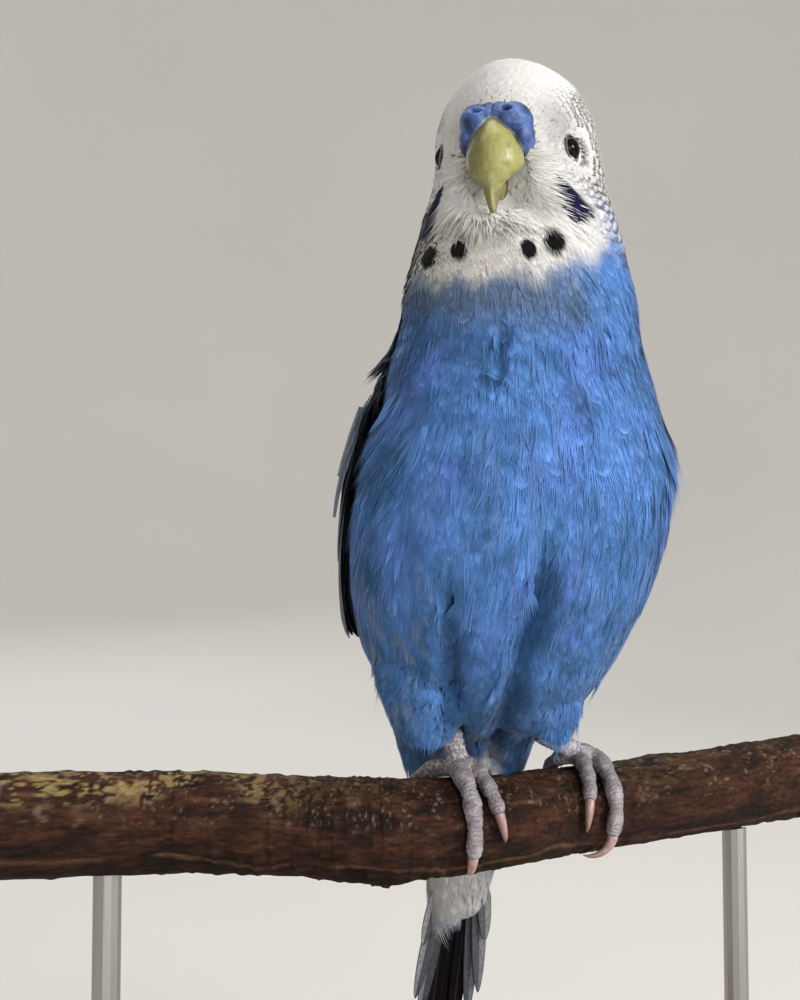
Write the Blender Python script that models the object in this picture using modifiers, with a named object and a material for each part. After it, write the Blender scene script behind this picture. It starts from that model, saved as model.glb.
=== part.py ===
"""A budgerigar perched upright on a cut branch, held by a plain display stand.

The bird faces -Y. X runs along the branch, Z is up, and the origin is the centre of the base's underside.
"""

import math
import random

import bmesh
import bpy
from mathutils import Matrix, Vector

# Driving dimensions. Every length in this file is in millimetres until a mesh is made.
MM = 0.001
GAP = 0.3
PERCH_HEIGHT = 83.0
BODY_X = 7.5
BODY_Y = -2.5
BODY_TURN = 12.0
HEAD_TURN = -19.0
HEAD_ROLL = -3.0
HEAD_LEAN = -0.045
NECK_PIVOT = -9.0
NECK_LEVEL = 82.0
EYE_LEVEL = 93.4
EYE_SIDE, EYE_FORWARD, EYE_SINK = 9.1, 5.8, 0.9
EYE_RADIUS, LID_RADIUS = 1.95, 1.95
BODY_SIDES = 24
HEAD_SIDES = 26

# Body sections from the tail root up to the crown, in the bird's own upright plane:
# front y, front z, back y, back z, half width, squareness, turn.
BODY_SECTIONS = [
    (22.4, -19.0, 28.6, -16.4, 5.0, 2.0, BODY_TURN),
    (18.4, -11.5, 27.3, -8.0, 6.4, 2.0, BODY_TURN),
    (14.2, -3.5, 25.7, 1.0, 8.2, 2.0, BODY_TURN),
    (9.6, 4.5, 24.4, 9.5, 10.4, 2.0, BODY_TURN),
    (3.0, 10.4, 23.2, 18.0, 12.6, 2.1, BODY_TURN),
    (-7.5, 13.8, 22.0, 27.0, 15.2, 2.2, BODY_TURN),
    (-16.5, 19.6, 20.0, 36.0, 18.9, 2.2, BODY_TURN),
    (-23.0, 28.2, 17.0, 45.5, 21.5, 2.2, BODY_TURN),
    (-26.6, 37.5, 13.2, 54.0, 22.3, 2.2, BODY_TURN),
    (-27.6, 47.0, 9.4, 61.0, 21.2, 2.2, BODY_TURN),
    (-26.2, 56.0, 6.4, 67.0, 18.9, 2.1, BODY_TURN),
    (-24.0, 64.0, 4.4, 72.5, 17.3, 2.0, BODY_TURN),
    (-22.4, 71.5, 3.2, 77.5, 16.5, 2.0, BODY_TURN),
    (-21.3, 78.0, 2.4, 82.0, 15.0, 2.0, BODY_TURN - 6.0),
    (-20.6, 83.5, 2.2, 86.0, 13.6, 2.1, HEAD_TURN + 12.0),
    (-20.6, 88.5, 2.2, 89.8, 12.5, 2.1, HEAD_TURN),
    (-20.7, 94.0, 2.2, 94.5, 11.6, 2.2, HEAD_TURN),
    (-20.0, 99.0, 1.4, 99.0, 10.9, 2.1, HEAD_TURN),
    (-17.8, 103.3, -0.4, 103.3, 9.0, 2.0, HEAD_TURN),
    (-14.6, 106.3, -3.5, 106.3, 6.0, 2.0, HEAD_TURN),
    (-11.6, 107.6, -6.5, 107.6, 2.7, 2.0, HEAD_TURN),
]
# The wing tips lie on this section, past the tail root.
WING_TIP_SECTION = (30.0, -36.0, 35.6, -33.4, 3.6, 2.0, BODY_TURN)
# The belly hangs a little to the bird's right, round this height and over this spread.
SWAY, SWAY_HEIGHT, SWAY_SPREAD = -2.4, 26.0, 23.0
# The flank and back lie this much deeper under the folded wing, from these angles on, between these places.
WING_BED = 2.2
WING_BED_ANGLES = (84.0, 102.0)
WING_BED_PLACES = ((5.6, 7.6), (9.4, 10.4))
# How much the sinking of the bed counts towards the back.
BACK_FLATNESS = 0.8
# The face is narrower in front, and set back round the bill: depth, half width, drop below the eyes,
# half height.
FACE_TAPER = 0.2
FACE_HOLLOW = (2.6, 4.6, 5.5, 6.0)

# The eyes look this way: sideways, back and up. Each has a ring of lids round it: how far out, half width,
# half depth, and stretch in height.
EYE_DIRECTION = (0.955, -0.27, 0.12)
LID_OUT, LID_WIDTH, LID_DEPTH, LID_STRETCH = 0.1, 0.5, 0.45, 1.06

# Sections of the bill from root to tip, from the eyes' height: forward, up, half width, half depth, slope.
UPPER_BILL = [
    (9.8, 2.2, 2.0, 2.2, 30.0),
    (10.4, 1.1, 3.3, 3.1, 20.0),
    (10.8, -0.4, 4.0, 3.8, 10.0),
    (11.2, -2.3, 4.25, 4.2, 0.0),
    (11.6, -4.4, 4.0, 3.9, -10.0),
    (12.1, -5.9, 3.1, 3.2, -16.0),
    (12.5, -7.0, 2.1, 2.3, -20.0),
    (12.8, -8.4, 1.45, 1.5, -26.0),
    (12.8, -9.7, 0.9, 0.85, -32.0),
    (12.5, -10.6, 0.4, 0.35, -36.0),
]
LOWER_BILL = [
    (8.4, -3.9, 2.7, 1.8, 0.0),
    (9.2, -5.7, 2.8, 2.2, -10.0),
    (9.8, -7.3, 2.4, 2.1, -20.0),
    (10.2, -8.6, 1.6, 1.4, -24.0),
    (10.4, -9.3, 0.9, 0.7, -24.0),
]
# Lobes of the cere over the bill's root: sideways, forward, up, radii. All but the first are paired.
CERE_LOBES = [
    (0.0, 10.9, 3.0, (2.9, 3.0, 2.0)),
    (2.4, 10.9, 2.3, (2.6, 3.3, 2.5)),
    (3.8, 10.2, 0.2, (1.35, 2.7, 2.2)),
]
NOSTRIL = (2.1, 14.0, 3.0, (0.5, 0.9, 0.5))

# Feathered thighs: centre in the bird's plane, radii. They lean back by this many degrees.
THIGHS = {
    "left": ((6.8, -4.6, 23.5), (6.2, 7.8, 12.2)),
    "right": ((-10.4, -5.0, 24.5), (7.4, 8.0, 13.0)),
}
THIGH_LEAN = -24.0

# Where the body is parted, as places along BODY_SECTIONS.
RUMP_TOP = 3.4
TORSO_TOP = 12.4
THROAT = 13.0
CROWN_RISE = 0.3
NECK_TOP = 14.3
CROWN = 20.0

# The branch: x, y and height above PERCH_HEIGHT of its centre line, and its radius.
PERCH_LINE = [
    (-69.9, -13.3, 1.4, 7.15),
    (-50.0, -10.6, 1.3, 7.1),
    (-36.0, -8.6, 1.1, 6.9),
    (-22.0, -9.0, 0.5, 6.75),
    (-13.5, -9.6, 0.1, 7.1),
    (-6.0, -8.6, -0.1, 6.9),
    (5.0, -4.0, -0.3, 6.6),
    (14.0, 2.2, -0.4, 6.5),
    (24.0, 8.4, -0.4, 6.5),
    (42.0, 18.2, -0.2, 6.6),
    (56.0, 26.4, 0.1, 6.75),
    (67.5, 33.2, 0.4, 6.9),
]
PERCH_LENGTH = 147.0
# Stubs of side twigs and old knots: place along the branch from 0 to 1, angle, width, height.
PERCH_KNOTS = [(0.23, 100.0, 5.5, 0.7), (0.415, 185.0, 4.2, 0.9), (0.80, 40.0, 5.0, 0.5)]
PERCH_RINGS, PERCH_SIDES = 26, 12
# The bark isn't quite round: share of the radius, ridges round the branch, degrees of twist along it.
BARK_WAVE, BARK_RIDGES, BARK_TWIST = 0.012, 3, 900.0

BASE_LENGTH = 130.0
BASE_DEPTH = 104.0
BASE_THICKNESS = 8.0
BASE_EDGE = 1.6
ROD_X = 48.0
ROD_RADIUS = 2.0
ROD_FOOT = 4.8
# The foot of a rod, from below: radius and height above the base.
ROD_PROFILE = [
    (ROD_FOOT, GAP),
    (ROD_FOOT, GAP + 0.8),
    (ROD_FOOT - 0.4, GAP + 1.4),
    (ROD_RADIUS + 0.6, GAP + 1.9),
    (ROD_RADIUS, GAP + 3.0),
]

# Tail feathers from the middle pair out: length past the tail root, sideways place at root and at tip,
# half width.
TAIL_FEATHERS = [
    (59.5, 0.9, 1.5, 2.7),
    (50.0, 1.8, 2.7, 2.5),
    (40.0, 2.6, 3.5, 2.4),
    (29.0, 3.3, 4.1, 2.3),
    (18.0, 3.8, 4.6, 2.1),
    (8.0, 4.0, 5.0, 1.9),
]
TAIL_LEAN = 25.0
TAIL_ROOT = (25.6, -17.9)
TAIL_STEP = 0.42
# The tail's root: distance past the rump, half width and half depth.
TAIL_BLOCK = [(0.3, 4.6, 2.3), (1.6, 4.5, 2.0), (3.2, 4.0, 1.5)]
VANE_THICKNESS = 0.5
VANE_SPREAD = (-1.0, 1.0)
# How much one feather differs from the next, as shares of its length and width, and the seed of the draws.
LENGTH_VARIATION = 0.03
WIDTH_VARIATION = 0.05
FEATHER_SEED = 20

# Tiers of wing feathers. Each runs from the feather at the wing's front edge to the one next to the back.
# A feather's root and tip are a place along the body and an angle round it. Its levels are heights over
# the body.
WING_TIERS = {
    "primaries": {
        "count": 6, "root": ((8.0, 98.0), (7.3, 116.0)), "tip": ((-0.9, 169.5), (2.9, 163.0)),
        "half_width": (2.0, 2.7), "root_level": (0.8, 0.8), "tip_level": (0.75, 1.3),
        "bow": (9.0, 2.0), "tilt": 0.06, "rows": 5, "blunt": 0.7,
    },
    "secondaries": {
        "count": 7, "root": ((8.3, 92.0), (8.7, 156.0)), "tip": ((5.2, 104.0), (4.3, 169.0)),
        "half_width": (3.5, 3.9), "root_level": (2.2, 2.3), "tip_level": (2.9, 2.6),
        "bow": (4.0, 0.0), "tilt": 0.09, "rows": 4, "blunt": 0.72,
    },
    "greater coverts": {
        "count": 6, "root": ((8.8, 90.0), (8.9, 155.0)), "tip": ((7.0, 95.0), (6.6, 163.0)),
        "half_width": (3.8, 4.1), "root_level": (2.4, 2.5), "tip_level": (2.9, 2.9),
        "bow": (0.0, 0.0), "tilt": 0.07, "rows": 3, "blunt": 0.6,
    },
    "lower coverts": {
        "count": 6, "root": ((9.3, 88.0), (9.3, 156.0)), "tip": ((7.7, 90.0), (7.7, 161.0)),
        "half_width": (3.1, 3.1), "root_level": (3.55, 3.55), "tip_level": (3.9, 3.9),
        "bow": (0.0, 0.0), "tilt": 0.07, "rows": 3, "blunt": 0.45,
    },
    "middle coverts": {
        "count": 5, "root": ((9.7, 88.0), (9.75, 154.0)), "tip": ((8.4, 91.0), (8.4, 159.0)),
        "half_width": (3.2, 3.2), "root_level": (3.05, 3.05), "tip_level": (4.25, 4.25),
        "bow": (0.0, 0.0), "tilt": 0.07, "rows": 3, "blunt": 0.45,
    },
    "upper coverts": {
        "count": 4, "root": ((9.95, 91.0), (10.1, 150.0)), "tip": ((9.1, 94.0), (9.1, 155.0)),
        "half_width": (3.2, 3.2), "root_level": (1.7, 1.7), "tip_level": (4.1, 4.1),
        "bow": (0.0, 0.0), "tilt": 0.07, "rows": 3, "blunt": 0.45,
    },
}
# The pad of the folded arm under the coverts: place along the body, lower and upper level.
ARM_PAD = [(9.2, 3.15, 3.75), (9.45, 1.55, 3.5), (9.7, 0.8, 3.0), (9.95, 0.75, 2.3), (10.2, 0.75, 1.3)]
ARM_PAD_ANGLES = (88.0, 157.0)
BACK_EDGE = 178.0
WING_NODES = {
    "primaries": ["primaries"],
    "secondaries": ["secondaries", "greater coverts"],
    "coverts": ["lower coverts", "middle coverts", "upper coverts"],
}
# The bird's left wing is held a little further back than its right one, in degrees round the body.
WING_SHIFT = {"left": 12.0, "right": 0.0}

# Each foot: place along x, way out, inward turn of the toes, and where the leg leaves the thigh, in the
# part's frame.
FEET = {
    "right": (1.0, -1, 0.4, (0.0, -6.2, 95.6)),
    "left": (20.2, 1, 2.2, (14.2, 2.4, 94.4)),
}
# Toes of a parrot's foot: two in front, two behind. Sideways place on the branch at root and tip,
# angle round the branch at root and tip (0 is on top, 90 in front), radius at root and tip.
TOES = {
    "inner_front": (1.3, 1.5, 14.0, 62.0, 1.35, 1.05),
    "outer_front": (-1.0, -1.9, 14.0, 102.0, 1.5, 1.1),
    "outer_back": (-1.6, -5.0, -12.0, -88.0, 1.4, 1.05),
    "inner_back": (1.6, 3.4, -12.0, -62.0, 1.25, 1.0),
}
TOE_END = 0.75
# The palm's height over the bark and radii, and the shank's radii from the thigh down.
PALM_RISE = 1.75
PALM_RADII = (2.6, 2.8, 1.75)
SHANK_RADII = [1.5, 1.6, 1.5, 1.8]
CLAW_RADIUS = 0.85
CLAW_BEND = 3.4
CLAW_ARC = 92.0
CLAW_TIP = 0.14

COLOURS = {
    "white_feather": ((0.86, 0.86, 0.87), 0.8),
    "blue_feather": ((0.13, 0.31, 0.68), 0.75),
    "dark_feather": ((0.05, 0.06, 0.08), 0.6),
    "tail_feather": ((0.10, 0.17, 0.30), 0.6),
    "cere": ((0.10, 0.20, 0.55), 0.4),
    "bill": ((0.52, 0.53, 0.24), 0.35),
    "eye": ((0.01, 0.01, 0.01), 0.05),
    "foot_skin": ((0.45, 0.42, 0.46), 0.7),
    "claw": ((0.66, 0.46, 0.42), 0.4),
    "bark": ((0.16, 0.07, 0.05), 0.8),
    "stand_wood": ((0.09, 0.06, 0.04), 0.45),
    "stand_metal": ((0.60, 0.58, 0.55), 0.3),
}


# Basic tools

def clear_scene():
    for obj in list(bpy.data.objects):
        bpy.data.objects.remove(obj)


def finish_material(name):
    material = bpy.data.materials.get(name)
    if material is None:
        colour, roughness = COLOURS[name]
        material = bpy.data.materials.new(name)
        material.use_nodes = True
        shader = material.node_tree.nodes["Principled BSDF"]
        shader.inputs["Base Color"].default_value = (*colour, 1.0)
        shader.inputs["Roughness"].default_value = roughness
        shader.inputs["Metallic"].default_value = 1.0 if name == "stand_metal" else 0.0
    return material


def add_object(name, points, faces, collection):
    """A mesh object from points in millimetres."""
    mesh = bpy.data.meshes.new(name)
    mesh.from_pydata([tuple(Vector(p) * MM) for p in points], [], faces)
    mesh.update()
    obj = bpy.data.objects.new(name, mesh)
    collection.objects.link(obj)
    return obj


def turn_outwards(obj):
    shape = bmesh.new()
    shape.from_mesh(obj.data)
    bmesh.ops.recalc_face_normals(shape, faces=shape.faces)
    shape.to_mesh(obj.data)
    shape.free()
    return obj


def dress(obj, material):
    obj.data.materials.clear()
    obj.data.materials.append(finish_material(material))
    obj.data.shade_smooth()
    obj.data.set_sharp_from_angle(angle=math.radians(40))
    return obj


def take_evaluated_mesh(obj):
    """Replaces the object's mesh by what its modifiers make of it."""
    graph = bpy.context.evaluated_depsgraph_get()
    made = bpy.data.meshes.new_from_object(obj.evaluated_get(graph))
    old = obj.data
    obj.modifiers.clear()
    obj.data = made
    bpy.data.meshes.remove(old)


def keep_largest_surface(obj):
    shape = bmesh.new()
    shape.from_mesh(obj.data)
    left = set(shape.verts)
    groups = []
    while left:
        group, edge = set(), [left.pop()]
        while edge:
            vert = edge.pop()
            group.add(vert)
            for link in vert.link_edges:
                other = link.other_vert(vert)
                if other in left:
                    left.remove(other)
                    edge.append(other)
        groups.append(group)
    largest = max(groups, key=len)
    drop = [vert for vert in shape.verts if vert not in largest]
    bmesh.ops.delete(shape, geom=drop, context="VERTS")
    shape.to_mesh(obj.data)
    shape.free()


def cut(obj, cutters, solver="EXACT"):
    """Takes the cutters away from obj, one after another."""
    for cutter in cutters:
        modifier = obj.modifiers.new("cut", "BOOLEAN")
        modifier.operation = "DIFFERENCE"
        modifier.object = cutter
        modifier.solver = solver
        take_evaluated_mesh(obj)
    keep_largest_surface(obj)
    return obj


def join(obj, pieces, solver="MANIFOLD"):
    """Joins closed pieces to obj with one union, and removes them."""
    group = bpy.data.collections.new("pieces_of_" + obj.name)
    for piece in pieces:
        for holder in list(piece.users_collection):
            holder.objects.unlink(piece)
        group.objects.link(piece)
    modifier = obj.modifiers.new("join", "BOOLEAN")
    modifier.operation = "UNION"
    modifier.operand_type = "COLLECTION"
    modifier.collection = group
    modifier.solver = solver
    take_evaluated_mesh(obj)
    for piece in pieces:
        bpy.data.objects.remove(piece)
    bpy.data.collections.remove(group)
    keep_largest_surface(obj)
    return obj


def grown(obj, by=GAP):
    """A hidden copy of obj, swollen along its normals, to cut its neighbours with."""
    copy = obj.copy()
    copy.data = obj.data.copy()
    copy.name = "around_" + obj.name
    normals = [vert.normal.copy() for vert in copy.data.vertices]
    for vert, normal in zip(copy.data.vertices, normals):
        vert.co += normal * by * MM
    HELPERS.objects.link(copy)
    copy.hide_render = True
    copy.display_type = "WIRE"
    return copy


def smooth_value(values, place):
    """Reads a list at a fractional place along a smooth curve through its items."""
    place = min(max(place, 0.0), len(values) - 1.0)
    low = min(int(place), len(values) - 2)
    part = place - low
    before = values[max(low - 1, 0)]
    start, end = values[low], values[low + 1]
    after = values[min(low + 2, len(values) - 1)]
    found = []
    for a, b, c, d in zip(before, start, end, after):
        leave, arrive = (c - a) / 2, (d - b) / 2
        found.append(
            b
            + leave * part
            + (3 * (c - b) - 2 * leave - arrive) * part**2
            + (2 * (b - c) + leave + arrive) * part**3
        )
    return found


def loft(name, rings, collection, pole=None):
    """A closed solid through rings of points, with flat ends, or a pole past the last ring."""
    sides = len(rings[0])
    points = [p for ring in rings for p in ring]
    faces = []
    for k in range(len(rings) - 1):
        for j in range(sides):
            a, b = k * sides + j, k * sides + (j + 1) % sides
            faces.append((a, b, b + sides, a + sides))
    faces.append(tuple(reversed(range(sides))))
    last = (len(rings) - 1) * sides
    if pole is None:
        faces.append(tuple(range(last, last + sides)))
    else:
        points.append(pole)
        faces += [(last + j, last + (j + 1) % sides, len(points) - 1) for j in range(sides)]
    return add_object(name, points, faces, collection)


def tube(name, line, radii, collection, sides=8):
    """A closed tube along points, with a radius at each."""
    line = [Vector(p) for p in line]
    ends = (line[0] * 2 - line[1]), (line[-1] * 2 - line[-2])
    tangents = [(b - a).normalized() for a, b in zip([ends[0]] + line[:-1], line[1:] + [ends[1]])]
    side = tangents[0].orthogonal().normalized()
    rings = []
    for point, tangent, radius in zip(line, tangents, radii):
        side = (side - tangent * side.dot(tangent)).normalized()
        up = tangent.cross(side)
        turn = [2 * math.pi * j / sides for j in range(sides)]
        rings.append([point + (side * math.cos(a) + up * math.sin(a)) * radius for a in turn])
    return loft(name, rings, collection)


def ellipsoid(name, centre, radii, collection, turn=None, segments=16, rings=10):
    shape = bmesh.new()
    bmesh.ops.create_uvsphere(shape, u_segments=segments, v_segments=rings, radius=1.0)
    matrix = turn.to_4x4() if turn is not None else Matrix.Identity(4)
    stretch = Matrix.Diagonal((*[r * MM for r in radii], 1.0))
    place = Matrix.Translation(Vector(centre) * MM)
    bmesh.ops.transform(shape, matrix=place @ matrix @ stretch, verts=shape.verts)
    mesh = bpy.data.meshes.new(name)
    shape.to_mesh(mesh)
    shape.free()
    obj = bpy.data.objects.new(name, mesh)
    collection.objects.link(obj)
    return obj


# Places on the bird

def turned(x, y, degrees):
    angle = math.radians(degrees)
    return x * math.cos(angle) - y * math.sin(angle), x * math.sin(angle) + y * math.cos(angle)


def on_bird(x, y, z, turn=BODY_TURN):
    """From the bird's own upright plane to the part's frame. Above the neck, parts turn about its pivot."""
    pivot_x, pivot_y = turned(0.0, NECK_PIVOT, BODY_TURN)
    turned_x, turned_y = turned(x, y - NECK_PIVOT, turn)
    sway = SWAY * math.exp(-(((z - SWAY_HEIGHT) / SWAY_SPREAD) ** 2)) + HEAD_LEAN * max(0.0, z - NECK_LEVEL)
    return Vector((BODY_X + sway + pivot_x + turned_x, BODY_Y + pivot_y + turned_y, PERCH_HEIGHT + z))


def on_head(sideways, forward, above_eyes):
    sideways, above_eyes = turned(sideways, above_eyes, HEAD_ROLL)
    return on_bird(sideways, NECK_PIVOT - forward, EYE_LEVEL + above_eyes, HEAD_TURN)


def head_turn():
    """The head's axes: sideways, forward and up, as columns."""
    sideways = (on_head(1, 0, 0) - on_head(0, 0, 0)).normalized()
    forward = (on_head(0, 1, 0) - on_head(0, 0, 0)).normalized()
    return Matrix((sideways, -forward, forward.cross(sideways).normalized())).transposed()


def powered(value, squareness):
    return math.copysign(abs(value) ** (2.0 / squareness), value)


def face_hollow(x, z):
    """The feathers part round the bill, so the face is set back there."""
    deep, half_width, below_eyes, half_height = FACE_HOLLOW
    middle = math.exp(-((x / half_width) ** 2))
    height = math.exp(-(((z - EYE_LEVEL + below_eyes) / half_height) ** 4))
    return deep * middle * height


def ramp(value, start, end):
    """Rises smoothly from 0 at start to 1 at end."""
    share = min(1.0, max(0.0, (value - start) / (end - start)))
    return share * share * (3 - 2 * share)


def wing_bed(place, angle):
    """How deep the body is sunk here under the folded wing."""
    around = ramp(min(angle % 360, -angle % 360), *WING_BED_ANGLES)
    low_end, high_end = WING_BED_PLACES
    return WING_BED * around * ramp(place, *low_end) * (1 - ramp(place, *high_end))


def body_point(place, angle):
    """A point on the bird's outer shape. Angle 0 is the front, 90 the bird's left, 180 the back."""
    if place < 0:
        values = smooth_value([WING_TIP_SECTION, BODY_SECTIONS[0], BODY_SECTIONS[1]], place + 1)
    else:
        values = smooth_value(BODY_SECTIONS, place)
    front_y, front_z, back_y, back_z, half_width, squareness, turn = values
    radians = math.radians(angle)
    x = half_width * powered(math.sin(radians), squareness)
    depth = powered(math.cos(radians), squareness)
    share = 0.5 - 0.5 * depth
    y = front_y + (back_y - front_y) * share
    z = front_z + (back_z - front_z) * share
    if depth > 0 and place > THROAT:
        y += face_hollow(x, z) * depth
        x *= 1 - FACE_TAPER * depth * ramp(place, NECK_TOP, NECK_TOP + 1.2)
    bed = wing_bed(place, angle)
    x -= bed * math.sin(radians)
    y += bed * math.cos(radians) * BACK_FLATNESS
    return on_bird(x, y, z, turn)


def body_length(name, start, end, rings, collection, pole=None, sides=BODY_SIDES):
    steps = [start + (end - start) * k / rings for k in range(rings + 1)]
    angles = [360.0 * j / sides for j in range(sides)]
    return loft(name, [[body_point(s, a) for a in angles] for s in steps], collection, pole)


def gap_place(place):
    """How far along the sections half a gap reaches at this place."""
    below, above = body_point(place - 0.05, 90), body_point(place + 0.05, 90)
    return GAP / 2 / ((above - below).length / 0.1)


# Feathers as vanes

def mix(start, end, share):
    return start + (end - start) * share


def mix_pair(pair, share):
    """Between two values, or between two points, of a tier."""
    start, end = pair
    if isinstance(start, tuple):
        return [mix(a, b, share) for a, b in zip(start, end)]
    return mix(start, end, share)


def sheet_solid(name, upper, lower, collection):
    """A closed sheet between two grids of points, split into the same triangles on both faces."""
    rows, columns = len(upper), len(upper[0])
    points = [p for row in upper for p in row] + [p for row in lower for p in row]
    below = rows * columns
    faces = []
    for i in range(rows - 1):
        for j in range(columns - 1):
            a, b = i * columns + j, i * columns + j + 1
            c, d = a + columns, b + columns
            faces += [(a, b, d), (a, d, c)]
            faces += [(below + a, below + d, below + b), (below + a, below + c, below + d)]
    border = list(range(columns))
    border += [i * columns + columns - 1 for i in range(1, rows)]
    border += [(rows - 1) * columns + j for j in range(columns - 2, -1, -1)]
    border += [i * columns for i in range(rows - 2, 0, -1)]
    for a, b in zip(border, border[1:] + border[:1]):
        faces += [(a, below + a, below + b), (a, below + b, b)]
    return turn_outwards(add_object(name, points, faces, collection))


def vane_width(along, blunt):
    """Share of the full width at a place along a vane: narrow quill, full blade, rounded tip."""
    root = min(1.0, 0.55 + along * 2.2)
    tip = max(0.0, 1.0 - max(0.0, (along - blunt) / (1.0 - blunt)) ** 2.2)
    return root * (0.16 + 0.84 * tip)


def wing_lie(place, angle):
    """The body's surface where a wing feather lies: point, steps by place and by degree, and way out."""
    point = body_point(place, angle)
    by_place = (body_point(place + 0.02, angle) - body_point(place - 0.02, angle)) / 0.04
    by_angle = body_point(place, angle + 0.5) - body_point(place, angle - 0.5)
    return point, by_place, by_angle, by_angle.cross(by_place).normalized()


def tier_place(tier, share, along):
    """Place and angle on the body of the middle of a tier's feather."""
    root, tip = mix_pair(tier["root"], share), mix_pair(tier["tip"], share)
    bow = mix_pair(tier["bow"], share) * math.sin(math.pi * along)
    return mix(root[0], tip[0], along), mix(root[1], tip[1], along) - bow


def tier_vane(name, tier, share, side, shift, draw, collection):
    """One feather of a tier, laid on the body and tilted so that each covers the edge of the next."""
    upper, lower = [], []
    rows = tier["rows"]
    length_share = 1 - LENGTH_VARIATION * draw.random()
    width_share = 1 - WIDTH_VARIATION * draw.random()
    for i in range(rows + 1):
        along = i / rows * length_share
        place, angle = tier_place(tier, share, along)
        angle += shift * (1 - along)
        centre, by_place, by_angle, out = wing_lie(place, angle)
        next_place, next_angle = tier_place(tier, share, along + 0.01)
        run = (body_point(next_place, next_angle + shift * (0.99 - along)) - centre).normalized()
        across = run.cross(out).normalized()
        width = mix_pair(tier["half_width"], share) * width_share
        width *= vane_width(along / length_share, tier["blunt"])
        level = mix(mix_pair(tier["root_level"], share), mix_pair(tier["tip_level"], share), along)
        # Steps of place and angle that move along the surface by one millimetre across the feather.
        stretch = by_place.dot(by_place), by_place.dot(by_angle), by_angle.dot(by_angle)
        pull = by_place.dot(across), by_angle.dot(across)
        scale = stretch[0] * stretch[2] - stretch[1] ** 2
        step_place = (pull[0] * stretch[2] - pull[1] * stretch[1]) / scale
        step_angle = (pull[1] * stretch[0] - pull[0] * stretch[1]) / scale
        thickness = VANE_THICKNESS * (1.0 if along < 0.9 else 0.7)
        row_up, row_down = [], []
        for spread in VANE_SPREAD:
            offset = spread * width
            turn = min(angle + step_angle * offset, BACK_EDGE)
            x, y, z = body_point(place + step_place * offset, turn * side)
            way_out = out if side > 0 else flipped(out)
            height = level - tier["tilt"] * offset
            row_down.append(Vector((x, y, z)) + way_out * height)
            row_up.append(Vector((x, y, z)) + way_out * (height + thickness))
        upper.append(row_up)
        lower.append(row_down)
    return sheet_solid(name, upper, lower, collection)


def flipped(direction):
    """A direction on the bird's left side as it is on its right side."""
    x, y = turned(direction.x, direction.y, -BODY_TURN)
    x, y = turned(-x, y, BODY_TURN)
    return Vector((x, y, direction.z))


# The bird

def make_body(collection):
    """Rump, torso, neck and head, parted by level gaps."""
    rump = body_length("rump", 0.0, RUMP_TOP - gap_place(RUMP_TOP), 6, collection)
    torso_start, torso_end = RUMP_TOP + gap_place(RUMP_TOP), TORSO_TOP - gap_place(TORSO_TOP)
    torso = body_length("torso", torso_start, torso_end, 13, collection)
    neck = body_length("neck", TORSO_TOP + gap_place(TORSO_TOP), NECK_TOP - gap_place(NECK_TOP), 4, collection)
    pole = (body_point(CROWN, 0) + body_point(CROWN, 180)) / 2 + Vector((0, 0, CROWN_RISE))
    head = body_length("head", NECK_TOP + gap_place(NECK_TOP), CROWN, 13, collection, pole, HEAD_SIDES)
    return rump, torso, neck, head


def make_thighs(collection):
    """The feathered drumsticks, as lobes at each side of the belly."""
    lean = Matrix.Rotation(math.radians(THIGH_LEAN), 3, "X")
    lean = Matrix.Rotation(math.radians(BODY_TURN), 3, "Z") @ lean
    thighs = []
    for name, (centre, radii) in THIGHS.items():
        thighs.append(ellipsoid("thigh_" + name, on_bird(*centre), radii, collection, lean, 18, 12))
    return thighs


def make_eyes(head, collection):
    """Round eyes set in the head, each in a raised ring of lids."""
    eyes, lids, sockets = [], [], []
    for name, side in (("left", 1), ("right", -1)):
        sideways, back, up = EYE_DIRECTION
        outward = (head_turn() @ Vector((side * sideways, back, up))).normalized()
        surface = on_head(side * EYE_SIDE, EYE_FORWARD, 0.0)
        turn = outward.to_track_quat("Z", "Y").to_matrix()
        centre = surface - outward * EYE_SINK
        eyes.append(ellipsoid("eye_" + name, centre, (EYE_RADIUS,) * 3, collection, turn, 14, 8))
        sockets.append(ellipsoid("socket_" + name, centre, (EYE_RADIUS + GAP,) * 3, HELPERS, turn, 14, 8))
        lids.append(lid_ring("lids_" + name, surface + outward * LID_OUT, outward, turn, collection))
    join(head, lids)
    for socket in sockets:
        socket.hide_render = True
    cut(head, sockets)
    return eyes


def lid_ring(name, centre, outward, turn, collection):
    """A closed ring of lid skin round an eye, five-sided in section."""
    sides, count = 5, 14
    points, faces = [], []
    for k in range(count):
        around = 2 * math.pi * k / count
        away = turn @ Vector((math.cos(around), math.sin(around) * LID_STRETCH, 0))
        for j in range(sides):
            angle = 2 * math.pi * j / sides
            wide, deep = LID_RADIUS + LID_WIDTH * math.cos(angle), LID_DEPTH * math.sin(angle)
            points.append(centre + away * wide + outward * deep)
            a, b = k * sides + j, k * sides + (j + 1) % sides
            next_ring = (k + 1) % count * sides
            faces.append((a, b, next_ring + (j + 1) % sides, next_ring + j))
    return turn_outwards(add_object(name, points, faces, collection))


def bill_ring(forward, above, half_width, half_depth, slope, sides=14):
    """One section of the bill: an oval round its centre line, tipped by slope degrees."""
    ring = []
    for j in range(sides):
        angle = 2 * math.pi * j / sides
        deep = half_depth * math.cos(angle)
        ring.append(on_head(
            half_width * math.sin(angle),
            forward + deep * math.cos(math.radians(slope)),
            above + deep * math.sin(math.radians(slope)),
        ))
    return ring


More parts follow.
